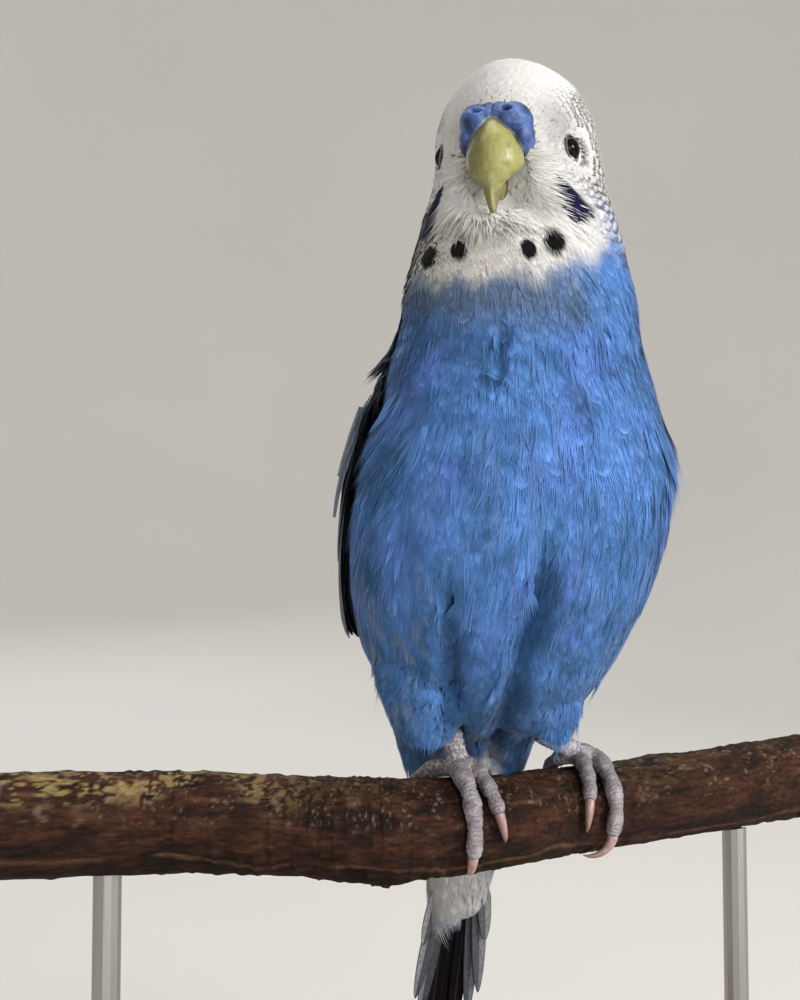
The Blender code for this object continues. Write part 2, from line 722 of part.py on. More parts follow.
def make_bill(head, neck, collection):
    """Hooked upper bill, small lower bill behind it, and the cere over its root with two nostrils."""
    upper = loft("bill_upper", [bill_ring(*s) for s in reversed(UPPER_BILL)], collection)
    lower = loft("bill_lower", [bill_ring(*s, sides=12) for s in reversed(LOWER_BILL)], collection)
    around_head, around_neck = grown(head), grown(neck)
    cut(upper, [around_head, around_neck], "MANIFOLD")
    cut(lower, [around_head, around_neck, grown(upper)], "MANIFOLD")
    lobes = []
    for sideways, forward, up, radii in CERE_LOBES:
        for side in (-1, 1) if sideways else (1,):
            centre = on_head(side * sideways, forward, up)
            lobes.append(ellipsoid("cere", centre, radii, collection, head_turn(), 10, 7))
    cere = join(lobes[0], lobes[1:])
    nostrils = []
    sideways, forward, up, radii = NOSTRIL
    for side in (-1, 1):
        centre = on_head(side * sideways, forward, up)
        nostrils.append(ellipsoid("nostril", centre, radii, HELPERS, head_turn(), 8, 6))
        nostrils[-1].hide_render = True
    cut(cere, [around_head, grown(upper)] + nostrils, "MANIFOLD")
    return upper, lower, cere


def make_wing(side_name, collection):
    """A folded wing in three nodes of tiered feathers; the coverts also cover the arm."""
    side = 1 if side_name == "left" else -1
    draw = random.Random(FEATHER_SEED + side)
    nodes = []
    for node, tier_names in WING_NODES.items():
        pieces = [arm_pad("arm", side, WING_SHIFT[side_name], collection)] if node == "coverts" else []
        for tier_name in tier_names:
            tier = WING_TIERS[tier_name]
            for k in range(tier["count"]):
                share = k / (tier["count"] - 1)
                pieces.append(tier_vane("vane", tier, share, side, WING_SHIFT[side_name], draw, collection))
        obj = join(pieces[0], pieces[1:]) if len(pieces) > 1 else pieces[0]
        obj.name = "wing_" + side_name + "_" + node
        nodes.append(obj)
    return nodes


def arm_pad(name, side, shift, collection):
    """The folded arm under the coverts, a thin pad that follows the body."""
    upper, lower = [], []
    columns = 6
    for place, low, high in ARM_PAD:
        row_up, row_down = [], []
        for k in range(columns + 1):
            angle = mix(ARM_PAD_ANGLES[0], ARM_PAD_ANGLES[1], k / columns) + shift
            edge = min(1.0, min(k, columns - k) / 1.5)
            out = wing_lie(place, angle)[3]
            way_out = out if side > 0 else flipped(out)
            point = body_point(place, angle * side)
            row_up.append(point + way_out * mix(low, high, 0.35 + 0.65 * edge))
            row_down.append(point + way_out * low)
        upper.append(row_up)
        lower.append(row_down)
    return sheet_solid(name, upper, lower, collection)


def tail_point(along, sideways, level):
    lean = math.radians(TAIL_LEAN)
    y = TAIL_ROOT[0] + along * math.sin(lean) + level * math.cos(lean)
    z = TAIL_ROOT[1] - along * math.cos(lean) + level * math.sin(lean)
    return on_bird(sideways, y, z)


def tail_vane(k, side, collection):
    """One long feather of the tail. Further from the middle they lie lower."""
    length, root_side, tip_side, half_width = TAIL_FEATHERS[k]
    level = 1.0 - TAIL_STEP * k - (TAIL_STEP / 2 if side < 0 else 0.0)
    upper, lower = [], []
    rows = 5 if k < 4 else 3
    for i in range(rows + 1):
        along = i / rows
        width = half_width * vane_width(along, 0.5)
        reach = mix(0.8, length, along)
        row_up, row_down = [], []
        for spread in VANE_SPREAD:
            sideways = side * (mix(root_side, tip_side, along) + spread * width)
            row_up.append(tail_point(reach, sideways, level + VANE_THICKNESS / 2))
            row_down.append(tail_point(reach, sideways, level - VANE_THICKNESS / 2))
        upper.append(row_up)
        lower.append(row_down)
    return sheet_solid("rectrix", upper, lower, collection)


def make_tail(collection):
    """Twelve long feathers in steps, the middle pair longest and on top, grown from one root."""
    vanes = [tail_vane(k, side, collection) for k in range(len(TAIL_FEATHERS)) for side in (-1, 1)]
    rings = []
    for along, wide, deep in TAIL_BLOCK:
        turn = [2 * math.pi * j / 12 for j in range(12)]
        rings.append([tail_point(along, wide * math.cos(a), deep * math.sin(a) - 0.1) for a in turn])
    block = turn_outwards(loft("tail", rings, collection))
    return join(block, vanes)


# The branch and the feet on it

def perch_at(share):
    """Centre, direction and radius of the branch at a share of its length."""
    place = share * (len(PERCH_LINE) - 1)
    x, y, z, radius = smooth_value(PERCH_LINE, place)
    ahead, behind = smooth_value(PERCH_LINE, place + 0.05), smooth_value(PERCH_LINE, place - 0.05)
    run = Vector((ahead[0] - behind[0], ahead[1] - behind[1], ahead[2] - behind[2])).normalized()
    return Vector((x, y, z + PERCH_HEIGHT)), run, radius


def perch_share(x):
    """The share of the branch's length that lies at this x."""
    low, high = 0.0, 1.0
    for _ in range(40):
        middle = (low + high) / 2
        if perch_at(middle)[0].x < x:
            low = middle
        else:
            high = middle
    return low


def round_branch(share, angle, distance):
    """A point at a distance from the branch's centre line. Angle 0 is on top and 90 in front."""
    centre, run, _ = perch_at(share)
    up = Vector((0, 0, 1))
    front = run.cross(up).normalized()
    radians = math.radians(angle)
    return centre + (up * math.cos(radians) + front * math.sin(radians)) * distance


def above_bark(x, angle, out):
    share = perch_share(x)
    return round_branch(share, angle, perch_at(share)[2] + out)


def make_perch(collection):
    """A cut length of bent branch with a few knots."""
    rings = []
    for k in range(PERCH_RINGS + 1):
        share = k / PERCH_RINGS
        radius = perch_at(share)[2]
        ring = []
        for j in range(PERCH_SIDES):
            angle = 360.0 * j / PERCH_SIDES
            bark = radius * (1 + BARK_WAVE * math.sin(math.radians(BARK_RIDGES * angle + BARK_TWIST * share)))
            for knot_share, knot_angle, knot_width, knot_height in PERCH_KNOTS:
                along = (share - knot_share) * PERCH_LENGTH / knot_width
                turn = math.radians((angle - knot_angle + 180) % 360 - 180) * radius / knot_width
                bark += knot_height * math.exp(-(along**2) - turn**2)
            ring.append(round_branch(share, angle, bark))
        rings.append(ring)
    return turn_outwards(loft("perch", rings, collection))


def toe_line(foot_x, outward, twist, toe, steps=5):
    """Points and radii of a toe that wraps the branch from its root to where the claw starts."""
    root_side, tip_side, root_angle, tip_angle, root_radius, tip_radius = toe
    line, radii = [], []
    for k in range(steps + 1):
        share = k / steps
        radius = mix(root_radius, tip_radius, share)
        x = foot_x - outward * (mix(root_side, tip_side, share**0.8) + math.copysign(twist, tip_angle) * share)
        line.append(above_bark(x, mix(root_angle, tip_angle, share), GAP + radius * 0.96))
        radii.append(radius)
    return line, radii


def make_leg(side_name, collection):
    """Scaled shank, palm and four toes fused in one piece; the claws are pieces of their own."""
    foot_x, outward, twist, ankle = FEET[side_name]
    ankle = Vector(ankle)
    palm = above_bark(foot_x, 0.0, PALM_RISE)
    middle = (ankle + palm) / 2
    shank_line = [ankle + (ankle - middle) * 0.3, ankle, middle, palm]
    shank = tube("leg_" + side_name, shank_line, SHANK_RADII, collection, sides=8)
    pieces = [ellipsoid("palm", palm, PALM_RADII, collection, None, 10, 6)]
    claws = []
    for toe_name, toe in TOES.items():
        line, radii = toe_line(foot_x, outward, twist, toe)
        inner = palm + (line[0] - palm) * 0.3
        run = (line[-1] - line[-2]).normalized()
        whole_line = [inner] + line + [line[-1] + run * TOE_END]
        pieces.append(tube("toe", whole_line, [radii[0]] + radii + [radii[-1] * 0.8], collection, sides=6))
        wood = perch_at(perch_share(line[-1].x))[0]
        start = line[-1] + run * (TOE_END + GAP)
        claws.append(make_claw("claw_" + side_name + "_" + toe_name, start, run, wood, collection))
    return join(shank, pieces), claws


def make_claw(name, start, run, towards, collection):
    """A curved, tapered claw that bends back round the branch."""
    inward = (towards - start).normalized()
    inward = (inward - run * inward.dot(run)).normalized()
    line, radii = [], []
    for k in range(6):
        share = k / 5
        angle = math.radians(CLAW_ARC) * share
        line.append(start + run * math.sin(angle) * CLAW_BEND + inward * (1 - math.cos(angle)) * CLAW_BEND)
        radii.append(CLAW_RADIUS * (1 - share) ** 0.7 + CLAW_TIP)
    return tube(name, line, radii, collection, sides=6)


# The stand

def make_base(collection):
    bpy.ops.mesh.primitive_cylinder_add(vertices=36, radius=0.5, depth=1.0)
    base = bpy.context.object
    base.name = "stand_base"
    base.data.transform(Matrix.Diagonal((BASE_LENGTH * MM, BASE_DEPTH * MM, BASE_THICKNESS * MM, 1.0)))
    base.data.transform(Matrix.Translation((0, 0, BASE_THICKNESS * MM / 2)))
    for holder in list(base.users_collection):
        holder.objects.unlink(base)
    collection.objects.link(base)
    edge = base.modifiers.new("edge", "BEVEL")
    edge.width = BASE_EDGE * MM
    edge.segments = 1
    edge.limit_method = "ANGLE"
    edge.angle_limit = math.radians(60)
    take_evaluated_mesh(base)
    return base


def make_rod(side_name, x, around_perch, collection):
    """A slim rod with a round foot, its top cut to the underside of the branch."""
    centre = perch_at(perch_share(x))[0]
    turn = [2 * math.pi * j / 12 for j in range(12)]
    rings = []
    for radius, above_base in ROD_PROFILE + [(ROD_RADIUS, centre.z - BASE_THICKNESS)]:
        z = BASE_THICKNESS + above_base
        rings.append([Vector((x + radius * math.cos(a), centre.y + radius * math.sin(a), z)) for a in turn])
    return cut(loft("stand_rod_" + side_name, rings, collection), [around_perch])


def main():
    clear_scene()
    bird = bpy.data.collections.new("budgerigar")
    for collection in (bird, HELPERS):
        bpy.context.scene.collection.children.link(collection)
    HELPERS.hide_render = True

    perch = make_perch(bird)
    around_perch = grown(perch)
    base = make_base(bird)
    rods = [make_rod(name, x, around_perch, bird) for name, x in (("left", -ROD_X), ("right", ROD_X))]

    rump, torso, neck, head = make_body(bird)
    thighs = make_thighs(bird)
    around_thighs = [grown(thigh) for thigh in thighs]
    for thigh in thighs:
        cut(thigh, [around_perch])
    for obj in (torso, rump):
        cut(obj, around_thighs + [around_perch])
    around_belly = around_thighs + [grown(torso), grown(rump), around_perch]
    eyes = make_eyes(head, bird)
    upper, lower, cere = make_bill(head, neck, bird)
    tail = make_tail(bird)

    legs, claws = [], []
    for side_name in FEET:
        leg, leg_claws = make_leg(side_name, bird)
        legs.append(cut(leg, around_belly))
        claws += [cut(claw, [around_perch]) for claw in leg_claws]
    wings = make_wing("left", bird) + make_wing("right", bird)

    for group, material in (
        ([head, neck], "white_feather"), ([torso, rump] + thighs, "blue_feather"), (wings, "dark_feather"),
        ([tail], "tail_feather"), ([upper, lower], "bill"), ([cere], "cere"), (eyes, "eye"), (legs, "foot_skin"),
        (claws, "claw"), ([perch], "bark"), ([base], "stand_wood"), (rods, "stand_metal"),
    ):
        for obj in group:
            dress(obj, material)


HELPERS = bpy.data.collections.new("cutters")
main()
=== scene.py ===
# A blue budgerigar on a cut branch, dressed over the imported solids. Lengths are in millimetres until a mesh is made.
import math

import bpy
import numpy as np
from mathutils import Matrix, Vector, kdtree, noise


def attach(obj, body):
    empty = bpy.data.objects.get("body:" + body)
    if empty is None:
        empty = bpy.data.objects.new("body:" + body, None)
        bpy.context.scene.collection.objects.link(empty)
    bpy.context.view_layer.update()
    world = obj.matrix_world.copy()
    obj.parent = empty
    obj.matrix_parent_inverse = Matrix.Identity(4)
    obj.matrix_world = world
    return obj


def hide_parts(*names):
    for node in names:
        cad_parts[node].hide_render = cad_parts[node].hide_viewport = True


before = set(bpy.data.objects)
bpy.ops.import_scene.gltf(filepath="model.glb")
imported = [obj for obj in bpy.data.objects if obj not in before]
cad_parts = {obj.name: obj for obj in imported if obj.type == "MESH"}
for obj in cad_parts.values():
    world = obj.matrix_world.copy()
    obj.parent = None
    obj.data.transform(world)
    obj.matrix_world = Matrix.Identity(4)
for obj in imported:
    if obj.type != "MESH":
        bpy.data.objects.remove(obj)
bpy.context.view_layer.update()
mm = 0.001
rng = np.random.default_rng(11)

bird = {
    "place": (7.5, -2.5),  # the bird's own axis over the base
    "turn": 12.0,
    "headTurn": -19.0,
    "headRoll": -3.0,
    "headLean": -0.045,
    "neckPivot": -9.0,
    "neckLevel": 82.0,
    "eyeLevel": 93.4,
    "perchHeight": 83.0,
    "sway": (-2.4, 26.0, 23.0),  # amount, height, spread
    "wingBed": 2.2,
    "wingBedAngles": (84.0, 102.0),
    "wingBedPlaces": ((5.6, 7.6), (9.4, 10.4)),
    "backFlatness": 0.8,
    "faceTaper": 0.2,
    "faceHollow": (2.6, 4.6, 5.5, 6.0),
    "crownRise": 0.3,
    # front y, front z, back y, back z, half width, squareness, turn, from the tail root up to the crown
    "sections": [
        (22.4, -19.0, 28.6, -16.4, 5.0, 2.0, 12.0),
        (18.4, -11.5, 27.3, -8.0, 6.4, 2.0, 12.0),
        (14.2, -3.5, 25.7, 1.0, 8.2, 2.0, 12.0),
        (9.6, 4.5, 24.4, 9.5, 10.4, 2.0, 12.0),
        (3.0, 10.4, 23.2, 18.0, 12.6, 2.1, 12.0),
        (-7.5, 13.8, 22.0, 27.0, 15.2, 2.2, 12.0),
        (-16.5, 19.6, 20.0, 36.0, 18.9, 2.2, 12.0),
        (-23.0, 28.2, 17.0, 45.5, 21.5, 2.2, 12.0),
        (-26.6, 37.5, 13.2, 54.0, 22.3, 2.2, 12.0),
        (-27.6, 47.0, 9.4, 61.0, 21.2, 2.2, 12.0),
        (-26.2, 56.0, 6.4, 67.0, 18.9, 2.1, 12.0),
        (-24.0, 64.0, 4.4, 72.5, 17.3, 2.0, 12.0),
        (-22.4, 71.5, 3.2, 77.5, 16.5, 2.0, 12.0),
        (-21.3, 78.0, 2.4, 82.0, 15.0, 2.0, 6.0),
        (-20.6, 83.5, 2.2, 86.0, 13.6, 2.1, -7.0),
        (-20.6, 88.5, 2.2, 89.8, 12.5, 2.1, -19.0),
        (-20.7, 94.0, 2.2, 94.5, 11.6, 2.2, -19.0),
        (-20.0, 99.0, 1.4, 99.0, 10.9, 2.1, -19.0),
        (-17.8, 103.3, -0.4, 103.3, 9.0, 2.0, -19.0),
        (-14.6, 106.3, -3.5, 106.3, 6.0, 2.0, -19.0),
        (-11.6, 107.6, -6.5, 107.6, 2.7, 2.0, -19.0),
    ],
    "wingTipSection": (30.0, -36.0, 35.6, -33.4, 3.6, 2.0, 12.0),
    # thighs: centre in the bird's plane, radii, backward lean
    "thighs": [((6.8, -4.6, 23.5), (6.2, 7.8, 12.2)), ((-10.4, -5.0, 24.5), (7.4, 8.0, 13.0))],
    "thighLean": -24.0,
    # partings between the lobes of the belly: points x and z in the part's frame, depth, half width
    "partings": [
        ([(11.3, 128.0), (10.6, 117.3), (8.4, 109.0), (7.1, 98.0), (6.8, 90.0)], 2.6, 1.5),
        ([(-1.9, 121.0), (-0.9, 114.3), (-1.2, 107.8), (0.2, 97.0), (0.6, 90.0)], 2.3, 1.3),
        ([(6.0, 154.0), (5.8, 151.5), (5.4, 147.5), (5.0, 145.0)], 0.7, 0.45),
    ],
}


# Places on the bird

def turned(x, y, degrees):
    angle = np.radians(degrees)
    return x * np.cos(angle) - y * np.sin(angle), x * np.sin(angle) + y * np.cos(angle)


def onBird(x, y, z, turn=None):
    turn = bird["turn"] if turn is None else turn
    amount, height, spread = bird["sway"]
    pivotX, pivotY = turned(0.0, bird["neckPivot"], bird["turn"])
    turnedX, turnedY = turned(x, y - bird["neckPivot"], turn)
    sway = amount * np.exp(-(((z - height) / spread) ** 2))
    sway = sway + bird["headLean"] * np.maximum(0.0, z - bird["neckLevel"])
    x = bird["place"][0] + sway + pivotX + turnedX
    y = bird["place"][1] + pivotY + turnedY
    return np.stack(np.broadcast_arrays(x, y, z + bird["perchHeight"]), axis=-1)


def onHead(sideways, forward, up):
    sideways, up = turned(sideways, up, bird["headRoll"])
    return onBird(sideways, bird["neckPivot"] - forward, bird["eyeLevel"] + up, bird["headTurn"])


def toHead(points):
    # the inverse of onHead: sideways, forward and up from the middle between the eyes
    z = points[..., 2] - bird["perchHeight"]
    amount, height, spread = bird["sway"]
    pivotX, pivotY = turned(0.0, bird["neckPivot"], bird["turn"])
    sway = amount * np.exp(-(((z - height) / spread) ** 2)) + bird["headLean"] * np.maximum(0.0, z - bird["neckLevel"])
    x, y = turned(
        points[..., 0] - bird["place"][0] - sway - pivotX, points[..., 1] - bird["place"][1] - pivotY, -bird["headTurn"]
    )
    sideways, up = turned(x, z - bird["eyeLevel"], -bird["headRoll"])
    return sideways, -y, up


def headAxes():
    middle = onHead(0.0, 0.0, 0.0)
    sideways = unit(onHead(1.0, 0.0, 0.0) - middle)
    forward = unit(onHead(0.0, 1.0, 0.0) - middle)
    return Matrix((sideways, -forward, np.cross(forward, sideways))).transposed()


def unit(v):
    return v / np.maximum(np.linalg.norm(v, axis=-1, keepdims=True), 1e-9)


def ramp(value, start, end):
    share = np.clip((value - start) / (end - start), 0.0, 1.0)
    return share * share * (3 - 2 * share)


def mix(a, b, share):
    return a + (b - a) * share


def smoothRows(table, place):
    # a smooth curve through the rows of a table, read at fractional places
    table = np.asarray(table, float)
    place = np.clip(np.asarray(place, float), 0.0, len(table) - 1.0)
    low = np.minimum(place.astype(int), len(table) - 2)
    part = (place - low)[..., None]
    before, start = table[np.maximum(low - 1, 0)], table[low]
    end, after = table[low + 1], table[np.minimum(low + 2, len(table) - 1)]
    leave, arrive = (end - before) / 2, (after - start) / 2
    cubic = (2 * (start - end) + leave + arrive) * part**3
    return start + leave * part + (3 * (end - start) - 2 * leave - arrive) * part**2 + cubic


def powered(value, squareness):
    return np.copysign(np.abs(value) ** (2.0 / squareness), value)


def bodySurface(place, angle):
    # the outer shape of the solids; angle 0 is the front, 90 the bird's left, 180 the back
    place, angle = np.broadcast_arrays(np.asarray(place, float), np.asarray(angle, float))
    top = len(bird["sections"]) - 1
    values = smoothRows(bird["sections"], place)
    tipValues = smoothRows([bird["wingTipSection"]] + bird["sections"][:2], place + 1)
    values = np.where((place < 0)[..., None], tipValues, values)
    frontY, frontZ, backY, backZ, halfWidth, squareness, turn = np.moveaxis(values, -1, 0)
    cap = np.clip(place - top, 0.0, 1.0)
    radians = np.radians(angle)
    shrink = 1 - 0.97 * cap
    across = powered(np.sin(radians), squareness)
    depth = powered(np.cos(radians), squareness)
    x = halfWidth * across * shrink
    share = 0.5 - 0.5 * depth * shrink
    y = frontY + (backY - frontY) * share
    z = frontZ + (backZ - frontZ) * share + bird["crownRise"] * (1 - (1 - cap) ** 2)
    deep, hollowWidth, drop, hollowHeight = bird["faceHollow"]
    hollow = deep * np.exp(-((x / hollowWidth) ** 2))
    hollow = hollow * np.exp(-(((z - bird["eyeLevel"] + drop) / hollowHeight) ** 4))
    face = np.where((depth > 0) & (place > 13), depth, 0.0)
    y = y + hollow * face
    x = x * (1 - bird["faceTaper"] * face * ramp(place, 14.3, 15.5))
    lowEnd, highEnd = bird["wingBedPlaces"]
    around = ramp(np.minimum(angle % 360, -angle % 360), *bird["wingBedAngles"])
    bed = bird["wingBed"] * around * ramp(place, *lowEnd) * (1 - ramp(place, *highEnd))
    x = x - bed * np.sin(radians)
    y = y + bed * np.cos(radians) * bird["backFlatness"]
    return onBird(x, y, z, turn)


def thighReach(points, centres):
    # how many times further out than the body each thigh reaches, along the line from the body's axis
    reach = np.ones(points.shape[:-1])
    lean = Matrix.Rotation(math.radians(bird["turn"]), 3, "Z") @ Matrix.Rotation(math.radians(bird["thighLean"]), 3, "X")
    lean = np.array(lean)
    for centre, radii in bird["thighs"]:
        start = (centres - onBird(*centre)) @ lean / np.array(radii)
        run = (points - centres) @ lean / np.array(radii)
        a, b, c = (run * run).sum(-1), (start * run).sum(-1), (start * start).sum(-1) - 1
        inside = b * b - a * c
        far = (-b + np.sqrt(np.maximum(inside, 0))) / np.maximum(a, 1e-9)
        reach = np.maximum(reach, np.where(inside > 0, far, 0))
    return np.minimum(reach, 1.6)


def blurred(grid, times):
    for _ in range(times):
        grid = (np.roll(grid, 1, 1) + grid * 2 + np.roll(grid, -1, 1)) / 4
        edge = np.concatenate([grid[:1], grid, grid[-1:]])
        grid = (edge[:-2] + edge[1:-1] * 2 + edge[2:]) / 4
    return grid


def polylineDistance(x, z, line):
    nearest = np.full(x.shape, 1e9)
    along = np.zeros(x.shape)
    for k in range(len(line) - 1):
        (x0, z0), (x1, z1) = line[k], line[k + 1]
        length = (x1 - x0) ** 2 + (z1 - z0) ** 2
        t = np.clip(((x - x0) * (x1 - x0) + (z - z0) * (z1 - z0)) / length, 0, 1)
        away = np.hypot(x - x0 - t * (x1 - x0), z - z0 - t * (z1 - z0))
        along = np.where(away < nearest, (k + t) / (len(line) - 1), along)
        nearest = np.minimum(nearest, away)
    return nearest, along


# The body's surface as a grid that every feather reads: points, ways out and how both change

gridStep = 0.05
gridPlaces = np.arange(0.0, 20.951, gridStep)
gridAngles = np.arange(0.0, 360.0, 1.0)


def gridNormals(points):
    byPlace = np.gradient(points, axis=0)
    byAngle = (np.roll(points, -1, 1) - np.roll(points, 1, 1)) / 2
    return unit(np.cross(byAngle, byPlace))


def makeBodyGrid():
    place, angle = np.meshgrid(gridPlaces, gridAngles, indexing="ij")
    points = bodySurface(place, angle)
    centres = points.mean(axis=1, keepdims=True)
    reach = blurred(thighReach(points, np.broadcast_to(centres, points.shape)), 6)
    points = centres + (points - centres) * reach[..., None]
    normals = gridNormals(points)
    for line, depth, halfWidth in bird["partings"]:
        away, along = polylineDistance(points[..., 0], points[..., 2], line)
        front = ramp(-normals[..., 1], 0.05, 0.35)
        sink = depth * ramp(along, 0.0, 0.35) * front * np.exp(-((away / halfWidth) ** 2))
        points = points - normals * sink[..., None]
    normals = gridNormals(points)
    byPlace = np.gradient(points, gridStep, axis=0)
    byAngle = (np.roll(points, -1, 1) - np.roll(points, 1, 1)) / 2
    smooth = np.stack([blurred(normals[..., k], 3) for k in range(3)], axis=-1)
    smooth = unit(smooth)
    normalByPlace = np.gradient(smooth, gridStep, axis=0)
    normalByAngle = (np.roll(smooth, -1, 1) - np.roll(smooth, 1, 1)) / 2
    return {
        "point": points, "normal": normals, "byPlace": byPlace, "byAngle": byAngle,
        "normalByPlace": normalByPlace, "normalByAngle": normalByAngle,
    }


bodyGrid = makeBodyGrid()


def readGrid(name, place, angle):
    grid = bodyGrid[name]
    row = np.clip(place / gridStep, 0, len(gridPlaces) - 1.001)
    low = row.astype(int)
    part = (row - low)[..., None]
    column = (angle % 360.0)
    left = column.astype(int) % 360
    share = (column - np.floor(column))[..., None]
    right = (left + 1) % 360
    below = grid[low, left] * (1 - share) + grid[low, right] * share
    above = grid[low + 1, left] * (1 - share) + grid[low + 1, right] * share
    return below * (1 - part) + above * part


print("body shape ready")


# Soft noise for tints, the same on skin and coat

noiseTable = np.random.default_rng(5).random((32, 32, 32))


def cloud(points, size, offset=0.0):
    p = points / size + offset
    low = np.floor(p).astype(int)
    t = p - low
    t = t * t * (3 - 2 * t)
    total = 0.0
    for i in (0, 1):
        for j in (0, 1):
            for k in (0, 1):
                weight = (t[..., 0] if i else 1 - t[..., 0]) * (t[..., 1] if j else 1 - t[..., 1])
                weight = weight * (t[..., 2] if k else 1 - t[..., 2])
                total = total + weight * noiseTable[(low[..., 0] + i) % 32, (low[..., 1] + j) % 32, (low[..., 2] + k) % 32]
    return total


# Markings of the plumage

markings = {
    "white": (0.65, 0.645, 0.63),
    # warm grey: a random tint on the mask, and painted shade on the lower face and round the bill
    "maskTintAndPaintedShade": (0.47, 0.43, 0.36),
    "blue": (0.064, 0.165, 0.40),
    # brighter blue: random bright patches, and painted light on the bird's left side
    "blueBrightAndLit": (0.098, 0.245, 0.60),
    # deep blue: random dark patches, and painted shade low on the belly and in the partings
    "blueDeepAndShade": (0.034, 0.105, 0.235),
    # painted shade under the mask's edge
    "greyBluePaintedShade": (0.105, 0.140, 0.190),
    "lilac": (0.50, 0.55, 0.80),
    "lavender": (0.165, 0.235, 0.40),
    "vent": (0.40, 0.40, 0.40),
    # painted light on the throat under the bill
    "throatPaintedLight": (0.88, 0.87, 0.85),
    # painted shade over the bird's left brow
    "browPaintedShade": (0.27, 0.265, 0.265),
    "featherEdge": (0.22, 0.29, 0.46),
    "bar": (0.03, 0.03, 0.038),
    "spot": (0.004, 0.004, 0.005),
    "patch": (0.006, 0.006, 0.026),
    # the level where white turns to blue, by angle
    "edge": [(-180, 12.6), (-100, 12.5), (-78, 12.3), (-49, 12.3), (-22, 12.42), (-3, 12.45), (22, 12.75), (41, 13.15),
             (62, 13.45), (100, 13.2), (180, 12.6)],
    # throat spots: place, angle, half width, half height
    "spots": [(12.85, -64.0, 1.4, 1.9), (13.0, -42.0, 1.15, 1.65), (13.02, -5.0, 1.02, 1.55), (13.2, 10.0, 1.45, 1.75)],
    # cheek patches: dark feather ends side by side, each from place and angle to place and angle, half width
    "patches": [
        ((15.0, 37.0), (14.65, 35.5), 0.28), ((14.85, 35.0), (14.55, 39.0), 0.42), ((14.7, 33.5), (14.4, 40.5), 0.5),
        ((14.55, 31.5), (14.2, 41.5), 0.56), ((14.4, 30.0), (14.05, 44.0), 0.6), ((14.25, 29.0), (13.9, 45.0), 0.6),
        ((14.1, 28.5), (13.8, 38.0), 0.56), ((13.95, 28.0), (13.75, 31.0), 0.5),
        ((14.95, -47.0), (14.6, -51.5), 0.3), ((14.75, -47.5), (14.35, -56.0), 0.42), ((14.55, -48.0), (14.1, -61.0), 0.5),
        ((14.3, -50.0), (13.9, -66.0), 0.55), ((14.15, -53.0), (13.7, -71.0), 0.55), ((13.95, -56.0), (13.5, -74.0), 0.5),
        ((13.8, -61.0), (13.45, -73.0), 0.42),
    ],
}


def signedAngle(angle):
    return (angle + 180.0) % 360.0 - 180.0


def blueEdge(points, angle):
    # the place where white gives way to blue, higher on the bird's left
    table = np.array(markings["edge"], float)
    return np.interp(signedAngle(angle), table[:, 0], table[:, 1]) + 0.5 * (cloud(points, 2.6) - 0.5)


def barShare(place, angle):
    # how much of a feather's dark bar shows: none on the mask, all over the nape and mantle
    side = np.abs(signedAngle(angle))
    start = 37.0 + 64.0 * ramp(place, 16.9, 18.8) + 40.0 * ramp(-place, -13.4, -12.2)
    return ramp(side, start, start + 32.0) * ramp(place, 7.2, 8.2) * ramp(-place, -20.2, -19.3)


def blend(base, other, share):
    return base + (other - base) * np.asarray(share)[..., None]


def partingShade(points):
    # darker where the coat parts between the lobes of the belly
    shade = np.zeros(points.shape[:-1])
    for line, depth, halfWidth in bird["partings"]:
        away, along = polylineDistance(points[..., 0], points[..., 2], line)
        shade = np.maximum(shade, ramp(along, 0.0, 0.25) * np.exp(-((away / halfWidth) ** 2)) * (points[..., 1] < -5))
    return shade


